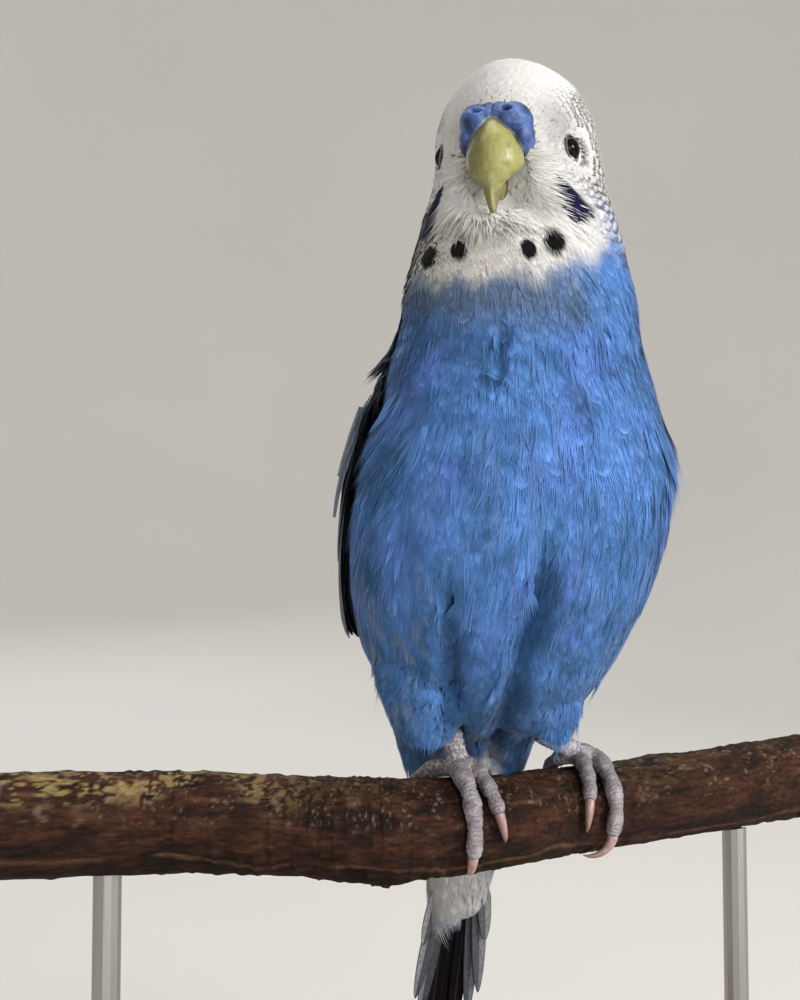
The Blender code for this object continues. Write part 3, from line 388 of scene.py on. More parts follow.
def markedColour(points, place, angle):
    side = signedAngle(angle)
    back = np.abs(side)
    sideways, forward, up = toHead(points)
    colours = {name: np.array(value) for name, value in markings.items() if isinstance(value[0], float)}
    tone = 0.55 * cloud(points * np.array([1, 1, 0.6]), 4.0, 3.1) + 0.45 * cloud(points, 1.5, 7.7)
    # painted light: the upper body is brighter blue on the bird's left side; the rest of the brightening is random
    blue = blend(colours["blue"], colours["blueBrightAndLit"], 0.8 * ramp(tone, 0.42, 0.72) + 0.35 * ramp(side, 5, 60) * ramp(place, 7, 10))
    blue = blend(blue, colours["blueDeepAndShade"], 0.75 * ramp(-tone, -0.46, -0.25))
    violet = ramp(cloud(points * np.array([1, 1, 0.7]), 5.5, 5.3), 0.5, 0.8)
    blue = blue * (1 + violet[..., None] * np.array([0.12, -0.05, 0.04]))
    # painted shade: darker blue low on the front of the belly
    blue = blend(blue, colours["blueDeepAndShade"], 0.5 * ramp(-place, -7.4, -4.8) * ramp(-back, -130, -80))
    pale = cloud(points * np.array([1.6, 1.6, 0.35]), 1.6, 2.2)
    flank = np.exp(-(((place - 6.2) / 1.3) ** 2)) * (ramp(back, 28, 45) * ramp(-back, -95, -75))
    blue = blend(blue, colours["lavender"], 0.75 * flank * ramp(pale, 0.5, 0.66) + 0.14 * ramp(pale, 0.6, 0.75))
    # painted shade: grey-blue just under the mask's edge, on the front and the bird's right side
    blue = blend(blue, colours["greyBluePaintedShade"], 0.75 * ramp(place, 11.2, 12.2) * ramp(-side, -45, 10) * ramp(-back, -110, -80))
    blue = blend(blue, colours["blueDeepAndShade"], 0.7 * partingShade(points))
    white = blend(colours["white"], colours["maskTintAndPaintedShade"], 0.3 * ramp(cloud(points, 3.5, 1.3), 0.45, 0.8) * ramp(-place, -15, -13))
    # painted shade: the mask's warm grey darkens the white on the bird's right side of the lower face and round the
    # bill's root
    white = blend(white, colours["maskTintAndPaintedShade"], 0.35 * ramp(-place, -14.6, -13.2) * ramp(-side, -2, 20) * ramp(-back, -80, -60))
    nearBill = np.exp(-((np.hypot(sideways / 6.0, (up + 2.5) / 8.2)) ** 6)) * ramp(forward, 6, 9)
    white = blend(white, colours["maskTintAndPaintedShade"], 0.3 * nearBill)
    # painted shade: a grey patch over the bird's left brow, above the eye
    brow = np.exp(-(((place - 16.3) / 0.75) ** 2) - ((side - 50.0) / 17.0) ** 2)
    white = blend(white, colours["browPaintedShade"], 0.74 * brow)
    # painted light: a brighter white patch on the throat under the bill, where the chin shades it
    throatLightShare = np.exp(-(((place - 13.72) / 0.42) ** 2) - ((side - 1.0) / 21.0) ** 2)
    white = blend(white, colours["throatPaintedLight"], throatLightShare)
    edge = blueEdge(points, angle)
    mantle = ramp(back, 96.0, 118.0)
    whiteShare = ramp(place, edge - 0.22, edge + 0.5) * (1 - mantle) + ramp(place, 7.0, 8.0) * mantle
    lilacShare = ramp(side, 35, 65) * (1 - mantle) * np.exp(-(((place - edge - 0.55) / 0.5) ** 2))
    colour = blend(blend(blue, white, whiteShare), colours["lilac"], 0.8 * lilacShare)
    low = ramp(-place, -1.6, -0.4)
    vent = ramp(-place, -3.75, -3.3) * ramp(-side, -30 - 130 * low, -12 - 110 * low) * ramp(side, -42 - 120 * low, -30 - 100 * low)
    ventColour = blend(colours["vent"], colours["lavender"], 0.4 * ramp(cloud(points, 3.0, 9.0), 0.45, 0.7))
    colour = blend(colour, ventColour, vent)
    for spotPlace, spotAngle, halfWidth, halfHeight in markings["spots"]:
        centre = readGrid("point", np.array(spotPlace), np.array(spotAngle))
        down = unit(-readGrid("byPlace", np.array(spotPlace), np.array(spotAngle)))
        out = readGrid("normal", np.array(spotPlace), np.array(spotAngle))
        across = np.cross(out, down)
        away = points - centre
        reach = np.hypot(away @ across / halfWidth, away @ down / halfHeight) + np.abs(away @ out) * 0.03
        colour = blend(colour, colours["spot"], ramp(-reach, -1.08, -0.94))
    near = np.flatnonzero(((place > 13.0) & (place < 15.6) & (back > 20) & (back < 85)).ravel())
    if len(near):
        flat, spots = colour.reshape(-1, 3), points.reshape(-1, 3)[near]
        dark = np.zeros(len(near))
        for (topPlace, topAngle), (lowPlace, lowAngle), halfWidth in markings["patches"]:
            top = readGrid("point", np.array(topPlace), np.array(topAngle))
            low = readGrid("point", np.array(lowPlace), np.array(lowAngle))
            run = low - top
            t = np.clip((spots - top) @ run / (run @ run), 0, 1)
            away = np.linalg.norm(spots - top - t[:, None] * run, axis=-1)
            width = halfWidth * (1 - 0.6 * t**2)
            dark = np.maximum(dark, ramp(-away, -width * 1.2, -width * 0.85))
        flat[near] = blend(flat[near], colours["patch"], dark)
        colour = flat.reshape(colour.shape)
    return colour


print("markings ready")


# Meshes and materials

def makeMesh(name, points, faces, material, colours=None, patches=None, normals=None, ride=True):
    mesh = bpy.data.meshes.new(name)
    points = np.ascontiguousarray(points, np.float32) * mm
    faces = np.ascontiguousarray(faces, np.int32)
    mesh.vertices.add(len(points))
    mesh.vertices.foreach_set("co", points.ravel())
    mesh.loops.add(faces.size)
    mesh.loops.foreach_set("vertex_index", faces.ravel())
    mesh.polygons.add(len(faces))
    mesh.polygons.foreach_set("loop_start", np.arange(0, faces.size, faces.shape[1], dtype=np.int32))
    mesh.update(calc_edges=True)
    mesh.polygons.foreach_set("use_smooth", np.ones(len(faces), bool))
    for attribute, values in (colours or {}).items():
        layer = mesh.color_attributes.new(name=attribute, type="FLOAT_COLOR", domain="POINT")
        full = np.ones((len(points), 4), np.float32)
        full[:, : values.shape[1]] = values
        layer.data.foreach_set("color", full.ravel())
    if patches is not None:
        layer = mesh.uv_layers.new(name="OFBake")
        layer.data.foreach_set("uv", np.ascontiguousarray(patches[faces.ravel()], np.float32).ravel())
    if normals is not None:
        mesh.normals_split_custom_set_from_vertices(normals.astype(np.float32))
    mesh.materials.append(material)
    obj = bpy.data.objects.new(name, mesh)
    bpy.context.scene.collection.objects.link(obj)
    if ride:
        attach(obj, "root")
    return obj


def gridFaces(rows, columns, wrap=False):
    # quads of a grid of points, closed round if wrap is set
    last = columns if wrap else columns - 1
    i, j = np.meshgrid(np.arange(rows - 1), np.arange(last), indexing="ij")
    a, b = i * columns + j, i * columns + (j + 1) % columns
    return np.stack([a, b, b + columns, a + columns], axis=-1).reshape(-1, 4)


class Shader:
    # a material's node tree, with short ways to add and join nodes
    def __init__(self, name, roughness=0.6, **values):
        self.material = bpy.data.materials.new(name)
        self.material.use_nodes = True
        self.tree = self.material.node_tree
        self.principled = self.tree.nodes["Principled BSDF"]
        self.principled.inputs["Roughness"].default_value = roughness
        for key, value in values.items():
            self.principled.inputs[key.replace("_", " ")].default_value = value
        self.coordinates = self.add("ShaderNodeTexCoord").outputs["Object"]

    def add(self, kind, inputs=None, **settings):
        node = self.tree.nodes.new(kind)
        for key, value in settings.items():
            setattr(node, key, value)
        for key, value in (inputs or {}).items():
            self.give(node.inputs[key], value)
        return node

    def give(self, socket, value):
        if isinstance(value, bpy.types.NodeSocket):
            self.tree.links.new(value, socket)
        elif isinstance(value, tuple) and len(value) == 3 and socket.type == "RGBA":
            socket.default_value = (*value, 1.0)
        else:
            socket.default_value = value

    def attribute(self, name):
        return self.add("ShaderNodeAttribute", attribute_name=name)

    def parts(self, colour):
        return self.add("ShaderNodeSeparateColor", {"Color": colour}).outputs

    def stretch(self, x, y, z, source=None):
        inputs = {"Vector": source or self.coordinates, "Scale": (x, y, z)}
        return self.add("ShaderNodeMapping", inputs).outputs["Vector"]

    def noise(self, scale, detail=3.0, rough=0.55, source=None, distortion=0.0):
        inputs = {"Vector": source or self.coordinates, "Scale": scale, "Detail": detail, "Roughness": rough}
        inputs["Distortion"] = distortion
        return self.add("ShaderNodeTexNoise", inputs).outputs["Fac"]

    def cells(self, scale, feature="F1", source=None, randomness=1.0):
        inputs = {"Vector": source or self.coordinates, "Scale": scale, "Randomness": randomness}
        return self.add("ShaderNodeTexVoronoi", inputs, feature=feature).outputs["Distance"]

    def math(self, operation, a, b=0.0, clamp=False):
        node = self.add("ShaderNodeMath", operation=operation, use_clamp=clamp)
        self.give(node.inputs[0], a)
        self.give(node.inputs[1], b)
        return node.outputs[0]

    def range(self, value, low, high, newLow=0.0, newHigh=1.0):
        inputs = {"Value": value, "From Min": low, "From Max": high, "To Min": newLow, "To Max": newHigh}
        return self.add("ShaderNodeMapRange", inputs, interpolation_type="SMOOTHSTEP").outputs["Result"]

    def blend(self, share, a, b, mode="MIX"):
        node = self.add("ShaderNodeMix", data_type="RGBA", blend_type=mode)
        self.give(node.inputs[0], share)
        self.give(node.inputs[6], a)
        self.give(node.inputs[7], b)
        return node.outputs[2]

    def bump(self, height, distance, strength=1.0, normal=None):
        inputs = {"Height": height, "Distance": distance, "Strength": strength}
        if normal is not None:
            inputs["Normal"] = normal
        return self.add("ShaderNodeBump", inputs).outputs["Normal"]

    def finish(self, colour=None, roughness=None, normal=None):
        for key, value in (("Base Color", colour), ("Roughness", roughness), ("Normal", normal)):
            if value is not None:
                self.give(self.principled.inputs[key], value)
        return self.material


def plumageMaterial():
    # hair-fine barbs run along each feather, guided by its own coordinates
    shader = Shader("softPlumage", 0.85, Specular_IOR_Level=0.12, Sheen_Weight=0.10, Sheen_Roughness=0.4)
    colour = shader.attribute("plumage").outputs["Color"]
    across, along, own = shader.parts(shader.attribute("strands").outputs["Color"])
    guide = shader.add("ShaderNodeCombineXYZ", {
        "X": shader.math("ADD", shader.math("MULTIPLY", across, 30.0), shader.math("MULTIPLY", own, 57.0)),
        "Y": shader.math("MULTIPLY", along, 1.3), "Z": shader.math("MULTIPLY", own, 91.0),
    }).outputs[0]
    barbs = shader.noise(1.0, 2.0, 0.6, source=guide)
    mottle = shader.range(barbs, 0.28, 0.72, 0.82, 1.14)
    tint = shader.add("ShaderNodeCombineColor", {"Red": mottle, "Green": mottle, "Blue": mottle}).outputs[0]
    return shader.finish(shader.blend(1.0, colour, tint, "MULTIPLY"), normal=shader.bump(barbs, 0.00003, 0.4))


def skinMaterial():
    shader = Shader("downySkin", 0.9, Specular_IOR_Level=0.15)
    colour = shader.attribute("plumage").outputs["Color"]
    down = shader.noise(1400.0, 3.0, source=shader.stretch(1.0, 1.0, 0.35))
    shade = shader.range(down, 0.3, 0.7, 0.78, 1.0)
    tint = shader.add("ShaderNodeCombineColor", {"Red": shade, "Green": shade, "Blue": shade}).outputs[0]
    return shader.finish(shader.blend(1.0, colour, tint, "MULTIPLY"), normal=shader.bump(down, 0.0003))


eyes = {
    "side": 9.1, "forward": 5.8, "sink": 0.9, "radius": 1.95,
    "direction": (0.955, -0.27, 0.12), "clear": 2.0,
}


def eyeCentre(side):
    direction = headAxes() @ Vector((side * eyes["direction"][0], eyes["direction"][1], eyes["direction"][2]))
    direction = np.array(direction.normalized())
    return onHead(side * eyes["side"], eyes["forward"], 0.0) - direction * eyes["sink"], direction


def awayFromEyes(roots):
    surface = readGrid("point", roots[:, 0], roots[:, 1])
    return np.minimum(*[np.linalg.norm(surface - eyeCentre(side)[0], axis=1) for side in (-1, 1)])


# The skin, one closed surface from tail root to crown that stands for the nodes of flesh

coat = {
    "bodyDepth": 1.2,  # how deep the skin lies under the feathers' tips
    "headDepth": 0.65,
    "faceDepth": 0.38,
}


def coatDepth(place, angle):
    face = ramp(place, 14.2, 15.5) * ramp(-np.abs(signedAngle(angle)), -75.0, -35.0)
    depth = mix(coat["bodyDepth"], coat["headDepth"], ramp(place, 12.0, 14.5))
    return mix(depth, coat["faceDepth"], face)


def surfacePatches(place, angle):
    # the unwrap of the skin: round the body and along it
    return np.stack([0.01 + 0.98 * ((angle % 360.0) / 360.0), 0.01 + 0.98 * place / 21.0], axis=-1)


def makeSkin():
    places = np.concatenate([np.arange(0.0, 20.0, 0.1), np.arange(20.0, 20.95, 0.1)])
    angles = np.arange(0.0, 360.0, 1.5)
    place, angle = np.meshgrid(places, angles, indexing="ij")
    depth = coatDepth(place, angle)
    points = readGrid("point", place, angle) - readGrid("normal", place, angle) * depth[..., None]
    rows, columns = place.shape
    colour = markedColour(points.reshape(-1, 3), place.ravel(), angle.ravel())
    bar = 0.45 * barShare(place.ravel(), angle.ravel()) * ramp(awayFromEyes(np.stack([place.ravel(), angle.ravel()], -1)), 4.0, 6.0)
    colour = colour * (1 - bar[:, None]) + np.array(markings["bar"]) * bar[:, None]
    points = points.reshape(-1, 3)
    ends = np.array([points[:columns].mean(0), points[-columns:].mean(0)])
    faces = gridFaces(rows, columns, wrap=True)
    faces = np.concatenate([faces[:, [0, 1, 2]], faces[:, [0, 2, 3]]])
    around = np.arange(columns)
    tail = np.stack([(around + 1) % columns, around, np.full(columns, rows * columns)], axis=-1)
    top = (rows - 1) * columns
    crown = np.stack([top + around, top + (around + 1) % columns, np.full(columns, rows * columns + 1)], axis=-1)
    points = np.concatenate([points, ends])
    colour = np.concatenate([colour, colour[:1], colour[-1:]])
    patches = surfacePatches(place.ravel(), angle.ravel())
    patches = np.concatenate([patches, patches[:1], patches[-1:]])
    faces = np.concatenate([faces, tail, crown])
    skin = makeMesh("birdSkin", points, faces, skinMaterial(), {"plumage": colour}, patches)
    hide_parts("head", "neck", "torso", "rump", "thigh_left", "thigh_right")
    return skin


# Contour feathers: each is a fan of fine barbs over a broad vane, laid along the flow of the coat

def coatFlow(points, normals, place, angle):
    # away from the bill over the face and crown, then down the nape and body
    down = -readGrid("byPlace", place, angle)
    away = unit(points - onHead(0.0, 8.5, -1.5))
    behind = -normals @ np.array(headAxes())[:, 1] * -1
    side = np.abs(signedAngle(angle))
    share = np.maximum(ramp(behind, 0.1, 0.75), ramp(-place, -16.4, -13.6) * ramp(side + 30 * (place < 14), 20.0, 60.0))
    share = np.maximum(share, ramp(-place, -14.2, -13.0))[..., None]
    flow = unit(down) * share + away * (1 - share)
    flow = flow - normals * (flow * normals).sum(-1, keepdims=True)
    return unit(flow)


def hangingFlow(points, normals, place, angle):
    way = np.array([0.0, 0.1, -1.0]) - 0.4 * normals
    return unit(way - 0.75 * normals * (way * normals).sum(-1, keepdims=True))


def flankFlow(points, normals, place, angle):
    # down and back over the front edge of the wing
    down = unit(-readGrid("byPlace", place, angle))
    back = unit(readGrid("byAngle", place, angle)) * np.sign(signedAngle(angle))[:, None]
    lean = (0.14 + 0.16 * ramp(place, 7.5, 9.5))[:, None]
    return unit(down + back * lean)


def scatterRoots(places, angles, rowGap, sideGap, jitter, draw):
    # staggered rows round the body; gaps are in millimetres, as functions of the place
    rows = []
    place = places[1]
    count = 0
    ring = np.linspace(0.0, 360.0, 181)
    while place > places[0]:
        line = readGrid("point", np.full(ring.shape, place), ring)
        lengths = np.concatenate([[0.0], np.cumsum(np.linalg.norm(np.diff(line, axis=0), axis=1))])
        perDegree = np.interp(ring, ring, lengths)
        start, end = np.interp([angles[0] % 360.0, (angles[1] - 1e-6) % 360.0], ring, perDegree)
        if angles[1] - angles[0] >= 360.0:
            start, end = 0.0, lengths[-1]
        span = (end - start) % lengths[-1] or lengths[-1]
        number = max(int(span / sideGap(place)), 1)
        along = start + (np.arange(number) + 0.5 * (count % 2) + jitter * (draw.random(number) - 0.5)) * span / number
        found = np.interp(along % lengths[-1], lengths, ring)
        step = np.linalg.norm(readGrid("byPlace", np.full(8, place), np.arange(8) * 45.0), axis=-1).mean()
        gap = rowGap(place) / step
        rows.append(np.stack([place + gap * jitter * (draw.random(number) - 0.5), found], axis=-1))
        place -= gap
        count += 1
    roots = np.concatenate(rows)
    return roots[(roots[:, 0] > 0.02) & (roots[:, 0] < 20.85)]


def barbFan(number, rows):
    # one feather's barbs in its own plane: places of their middles and half widths, as shares of length and width
    phi = np.linspace(-1.0, 1.0, number)[:, None]
    t = np.asarray(rows)[None, :]
    tipX, tipY = 0.62 + 0.38 * np.cos(phi * 1.3), 0.5 * np.sin(phi * 1.35) / math.sin(1.35)
    startX, startY = 0.02 + 0.16 * np.abs(phi), 0.05 * phi
    bendX, bendY = startX + 0.4 * (tipX - startX), tipY * 0.8
    x = (1 - t) ** 2 * startX + 2 * t * (1 - t) * bendX + t * t * tipX
    y = (1 - t) ** 2 * startY + 2 * t * (1 - t) * bendY + t * t * tipY
    width = (0.4 + 0.6 * np.sin(math.pi * np.minimum(1.0, 0.25 + t * 0.75))) * (1 - 0.9 * t**2) * 0.8 / number
    return x, y, width + 0 * phi


def growFeathers(roots, length, width, depth, lift, kind, draw):
    # roots are (place, angle); the rest are arrays, one value a feather, in millimetres
    place, angle = roots[:, 0], roots[:, 1]
    normal = readGrid("normal", place, angle)
    normal = unit(normal)
    surface = readGrid("point", place, angle)
    along = kind["flow"](surface, normal, place, angle)
    turn = np.radians(kind["turnJitter"]) * draw.standard_normal(len(place))
    side = np.cross(normal, along)
    along = along * np.cos(turn)[:, None] + side * np.sin(turn)[:, None]
    side = np.cross(normal, along)
    byPlace, byAngle = readGrid("byPlace", place, angle), readGrid("byAngle", place, angle)
    a, b, c = (byPlace * byPlace).sum(-1), (byPlace * byAngle).sum(-1), (byAngle * byAngle).sum(-1)
    scale = np.maximum(a * c - b * b, 1e-6)

    def steps(way):
        p, q = (byPlace * way).sum(-1), (byAngle * way).sum(-1)
        return (p * c - q * b) / scale, np.clip((q * a - p * b) / scale, -60, 60)

    alongPlace, alongAngle = steps(along)
    sidePlace, sideAngle = steps(side)
    normalByPlace, normalByAngle = readGrid("normalByPlace", place, angle), readGrid("normalByAngle", place, angle)
    bendAlong = normalByPlace * alongPlace[:, None] + normalByAngle * alongAngle[:, None]
    bendSide = normalByPlace * sidePlace[:, None] + normalByAngle * sideAngle[:, None]
    bend = kind.get("bend", 1.0)
    bendAlong, bendSide = bend * np.clip(bendAlong, -0.18, 0.18), bend * np.clip(bendSide, -0.18, 0.18)
    kAlong, kSide = (along * bendAlong).sum(-1), (side * bendSide).sum(-1)
    kBoth = ((along * bendSide).sum(-1) + (side * bendAlong).sum(-1)) / 2

    # a feather whose tip would stand off the coat, where the body turns sharply, is shortened
    fit = np.full(len(place), 0.42)
    for share in (0.55, 0.7, 0.85, 1.0):
        reach = length * share
        tip = surface + along * reach[:, None] - 0.5 * normal * (kAlong * reach**2)[:, None]
        tipPlace = place + alongPlace * reach
        away = np.linalg.norm(tip - readGrid("point", np.clip(tipPlace, 0, 20.9), angle + alongAngle * reach), axis=1)
        fit = np.where((away < kind["standOff"]) | (tipPlace < 0.2), share, fit)
    length = length * fit

    barbs, rows = kind["barbs"], np.array(kind["rows"])
    x, y, half = barbFan(barbs, rows)
    vaneX = rows[None, :] * 0.80
    vaneHalf = kind.get("vane", 0.34) * np.sin(math.pi * np.minimum(0.5 + 0 * rows, 0.12 + rows * 0.75))[None, :] * (1 - rows**4)[None, :]
    x, y = np.concatenate([x, vaneX]), np.concatenate([y, vaneX * 0])
    half = np.concatenate([half, vaneHalf])
    count, strands = len(place), barbs + 1
    stretch = 1 + kind["barbJitter"] * draw.standard_normal((count, strands, 1))
    stretch[:, -1] = 1.0
    middleX = x[None] * length[:, None, None] * (1 + (stretch - 1) * rows[None, None, :])
    sway = kind["barbJitter"] * draw.standard_normal((count, strands, 1)) * rows[None, None, :] ** 1.5
    middleY = (y[None] + 0.6 * sway / strands * 3) * width[:, None, None]
    half = half[None] * width[:, None, None]
    runX, runY = np.gradient(middleX, axis=2), np.gradient(middleY, axis=2)
    runLength = np.maximum(np.hypot(runX, runY), 1e-6)
    runX, runY = runX / runLength, runY / runLength
    leftX, leftY = middleX + runY * half, middleY - runX * half
    rightX, rightY = middleX - runY * half, middleY + runX * half
    last = len(rows) - 1
    flatX = np.concatenate([np.stack([leftX, rightX], -1)[:, :, :last].reshape(count, strands, -1), middleX[:, :, last:]], 2)
    flatY = np.concatenate([np.stack([leftY, rightY], -1)[:, :, :last].reshape(count, strands, -1), middleY[:, :, last:]], 2)
    t = np.concatenate([np.repeat(rows[:last], 2), rows[last:]])[None, None, :]
    rise = -depth[:, None, None] + (depth + lift)[:, None, None] * t ** kind["riseBend"]
    rise = rise + kind["barbLift"] * draw.standard_normal((count, strands, 1)) * t
    rise = rise - kind["camber"] * width[:, None, None] * (flatY / width[:, None, None]) ** 2 * 4
    rise[:, -1] -= 0.06

    def spread(vectors):
        return vectors[:, None, None, :]

    drop = 0.5 * (flatX**2 * kAlong[:, None, None] + flatY**2 * kSide[:, None, None])
    drop = drop + flatX * flatY * kBoth[:, None, None]
    out = spread(normal) + flatX[..., None] * spread(bendAlong) + flatY[..., None] * spread(bendSide)
    out = unit(out)
    points = spread(surface) + flatX[..., None] * spread(along) + flatY[..., None] * spread(side)
    points = points - drop[..., None] * spread(normal) + rise[..., None] * out
    shading = out + spread(side) * (flatY / width[:, None, None])[..., None] * kind["bulge"]
    shading = unit(shading + kind["roughen"] * draw.standard_normal((count, strands, 1, 3)))

    herePlace = place[:, None, None] + flatX * alongPlace[:, None, None] + flatY * sidePlace[:, None, None]
    hereAngle = angle[:, None, None] + flatX * alongAngle[:, None, None] + flatY * sideAngle[:, None, None]
    colour = kind["colour"](points, herePlace, hereAngle, t, place, angle)
    first = np.append((np.arange(barbs) + 0.02) / barbs, 0.25)
    second = np.append((np.arange(barbs) + 0.98) / barbs, 0.75)
    strandPlace = np.stack([np.tile(np.append(np.tile([a, b], last), (a + b) / 2), (count, 1)) for a, b in zip(first, second)], 1)
    strandRun = np.broadcast_to(t, (count, strands, t.shape[-1]))
    strandDraw = np.broadcast_to(draw.random((count, 1, 1)), strandRun.shape)
    strandGuide = np.stack([strandPlace, strandRun, strandDraw], axis=-1)
    tone = 1 + kind["feather"] * draw.standard_normal((count, 1, 1)) + kind["barb"] * draw.standard_normal((count, strands, 1))
    # painted shade: every feather darkens towards its root, which the feathers above cover
    tone = tone * mix(kind["rootPaintedShade"], 1.0, np.minimum(1.0, t * 1.15))
    tone = tone * (1 + kind["tipTone"] * draw.random((count, 1, 1)) ** 4 * 5 * ramp(t, 0.78, 0.95))
    colour = np.clip(colour * tone[..., None], 0.0, 0.95)
    patch = surfacePatches(place, angle)[:, None, None, :]
    offset = np.stack([flatY / width[:, None, None], flatX / length[:, None, None] - 0.5], axis=-1)
    patch = patch + 0.003 * np.clip(offset, -0.5, 0.5)

    perStrand = 2 * last + 1
    quads = np.arange(last - 1)[:, None] * 2
    strip = np.concatenate([quads + np.array([[0, 3, 1]]), quads + np.array([[0, 2, 3]])])
    strip = np.concatenate([strip, [[2 * last - 2, 2 * last, 2 * last - 1]]])
    start = np.arange(count * strands)[:, None, None] * perStrand
    faces = (start + strip[None]).reshape(count, -1, 3)
    return {
        "points": points.reshape(count, -1, 3), "normals": shading.reshape(count, -1, 3),
        "colours": colour.reshape(count, -1, 3), "patches": patch.reshape(count, -1, 2),
        "guides": strandGuide.reshape(count, -1, 3),
        "strip": strip, "strands": strands, "perStrand": perStrand, "roots": roots,
    }


mostTriangles = 195000


def addCoat(name, grown, material):
    # splits a crowd of feathers into pieces that each stay small enough
    each = len(grown["strip"]) * grown["strands"]
    perFeather = grown["strands"] * grown["perStrand"]
    count = len(grown["points"])
    pieces = max(1, math.ceil(count * each / mostTriangles))
    bounds = np.linspace(0, count, pieces + 1).astype(int)
    order = np.argsort(-grown["roots"][:, 0], kind="stable")
    made = 0
    for k in range(pieces):
        chosen = order[bounds[k]:bounds[k + 1]]
        start = np.arange(len(chosen) * grown["strands"])[:, None, None] * grown["perStrand"]
        faces = (start + grown["strip"][None]).reshape(-1, 3)
        made += len(faces)
        label = name if pieces == 1 else name + "_" + str(k + 1)
        makeMesh(
            label, grown["points"][chosen].reshape(-1, 3), faces, material,
            {"plumage": grown["colours"][chosen].reshape(-1, 3), "strands": grown["guides"][chosen].reshape(-1, 3)},
            grown["patches"][chosen].reshape(-1, 2), grown["normals"][chosen].reshape(-1, 3),
        )
    print(name, count, "feathers,", made, "triangles,", pieces, "pieces")
    return made


def plainColour(points, place, angle, t, rootPlace, rootAngle):
    # a feather takes half of its tint from where it is rooted
    shape = points.shape[:-1]
    place = mix(place, rootPlace[:, None, None], 0.45)
    place, angle = np.broadcast_to(place, shape).ravel(), np.broadcast_to(angle, shape).ravel()
    return markedColour(points.reshape(-1, 3), place, angle).reshape(*shape, 3)


def edgedColour(points, place, angle, t, rootPlace, rootAngle):
    # some feathers end in a thin pale edge
    colour = plainColour(points, place, angle, t, rootPlace, rootAngle)
    chance = ramp(cloud(np.stack([rootPlace * 5.0, rootAngle * 0.4, rootAngle * 0.0], -1), 1.0, 5.0), 0.45, 0.6)
    edge = ramp(t, 0.9, 0.965) * chance[:, None, None]
    return blend(colour, np.array(markings["featherEdge"]), 0.5 * edge)


def barredColour(points, place, angle, t, rootPlace, rootAngle):
    # white feathers with one bar short of the tip: thin and grey beside the face, broad and black behind
    colour = plainColour(points, place, angle, t, rootPlace, rootAngle)
    share = barShare(rootPlace, rootAngle)[:, None, None]
    wave = t + 0.05 * (cloud(points, 0.9, 4.0) - 0.5)
    middle, half = 0.76 - 0.04 * share, mix(0.055, 0.115, share)
    bar = ramp(wave, middle - half * 1.5, middle - half * 0.5) * (1 - ramp(wave, middle + half * 0.5, middle + half * 1.5))
    bar = bar * mix(0.5, 1.0, share) * ramp(share, 0.02, 0.2)
    ink = mix(np.array([0.17, 0.17, 0.19]), np.array(markings["bar"]), ramp(share, 0.35, 0.9)[..., None])
    return colour * (1 - bar[..., None]) + ink * bar[..., None]


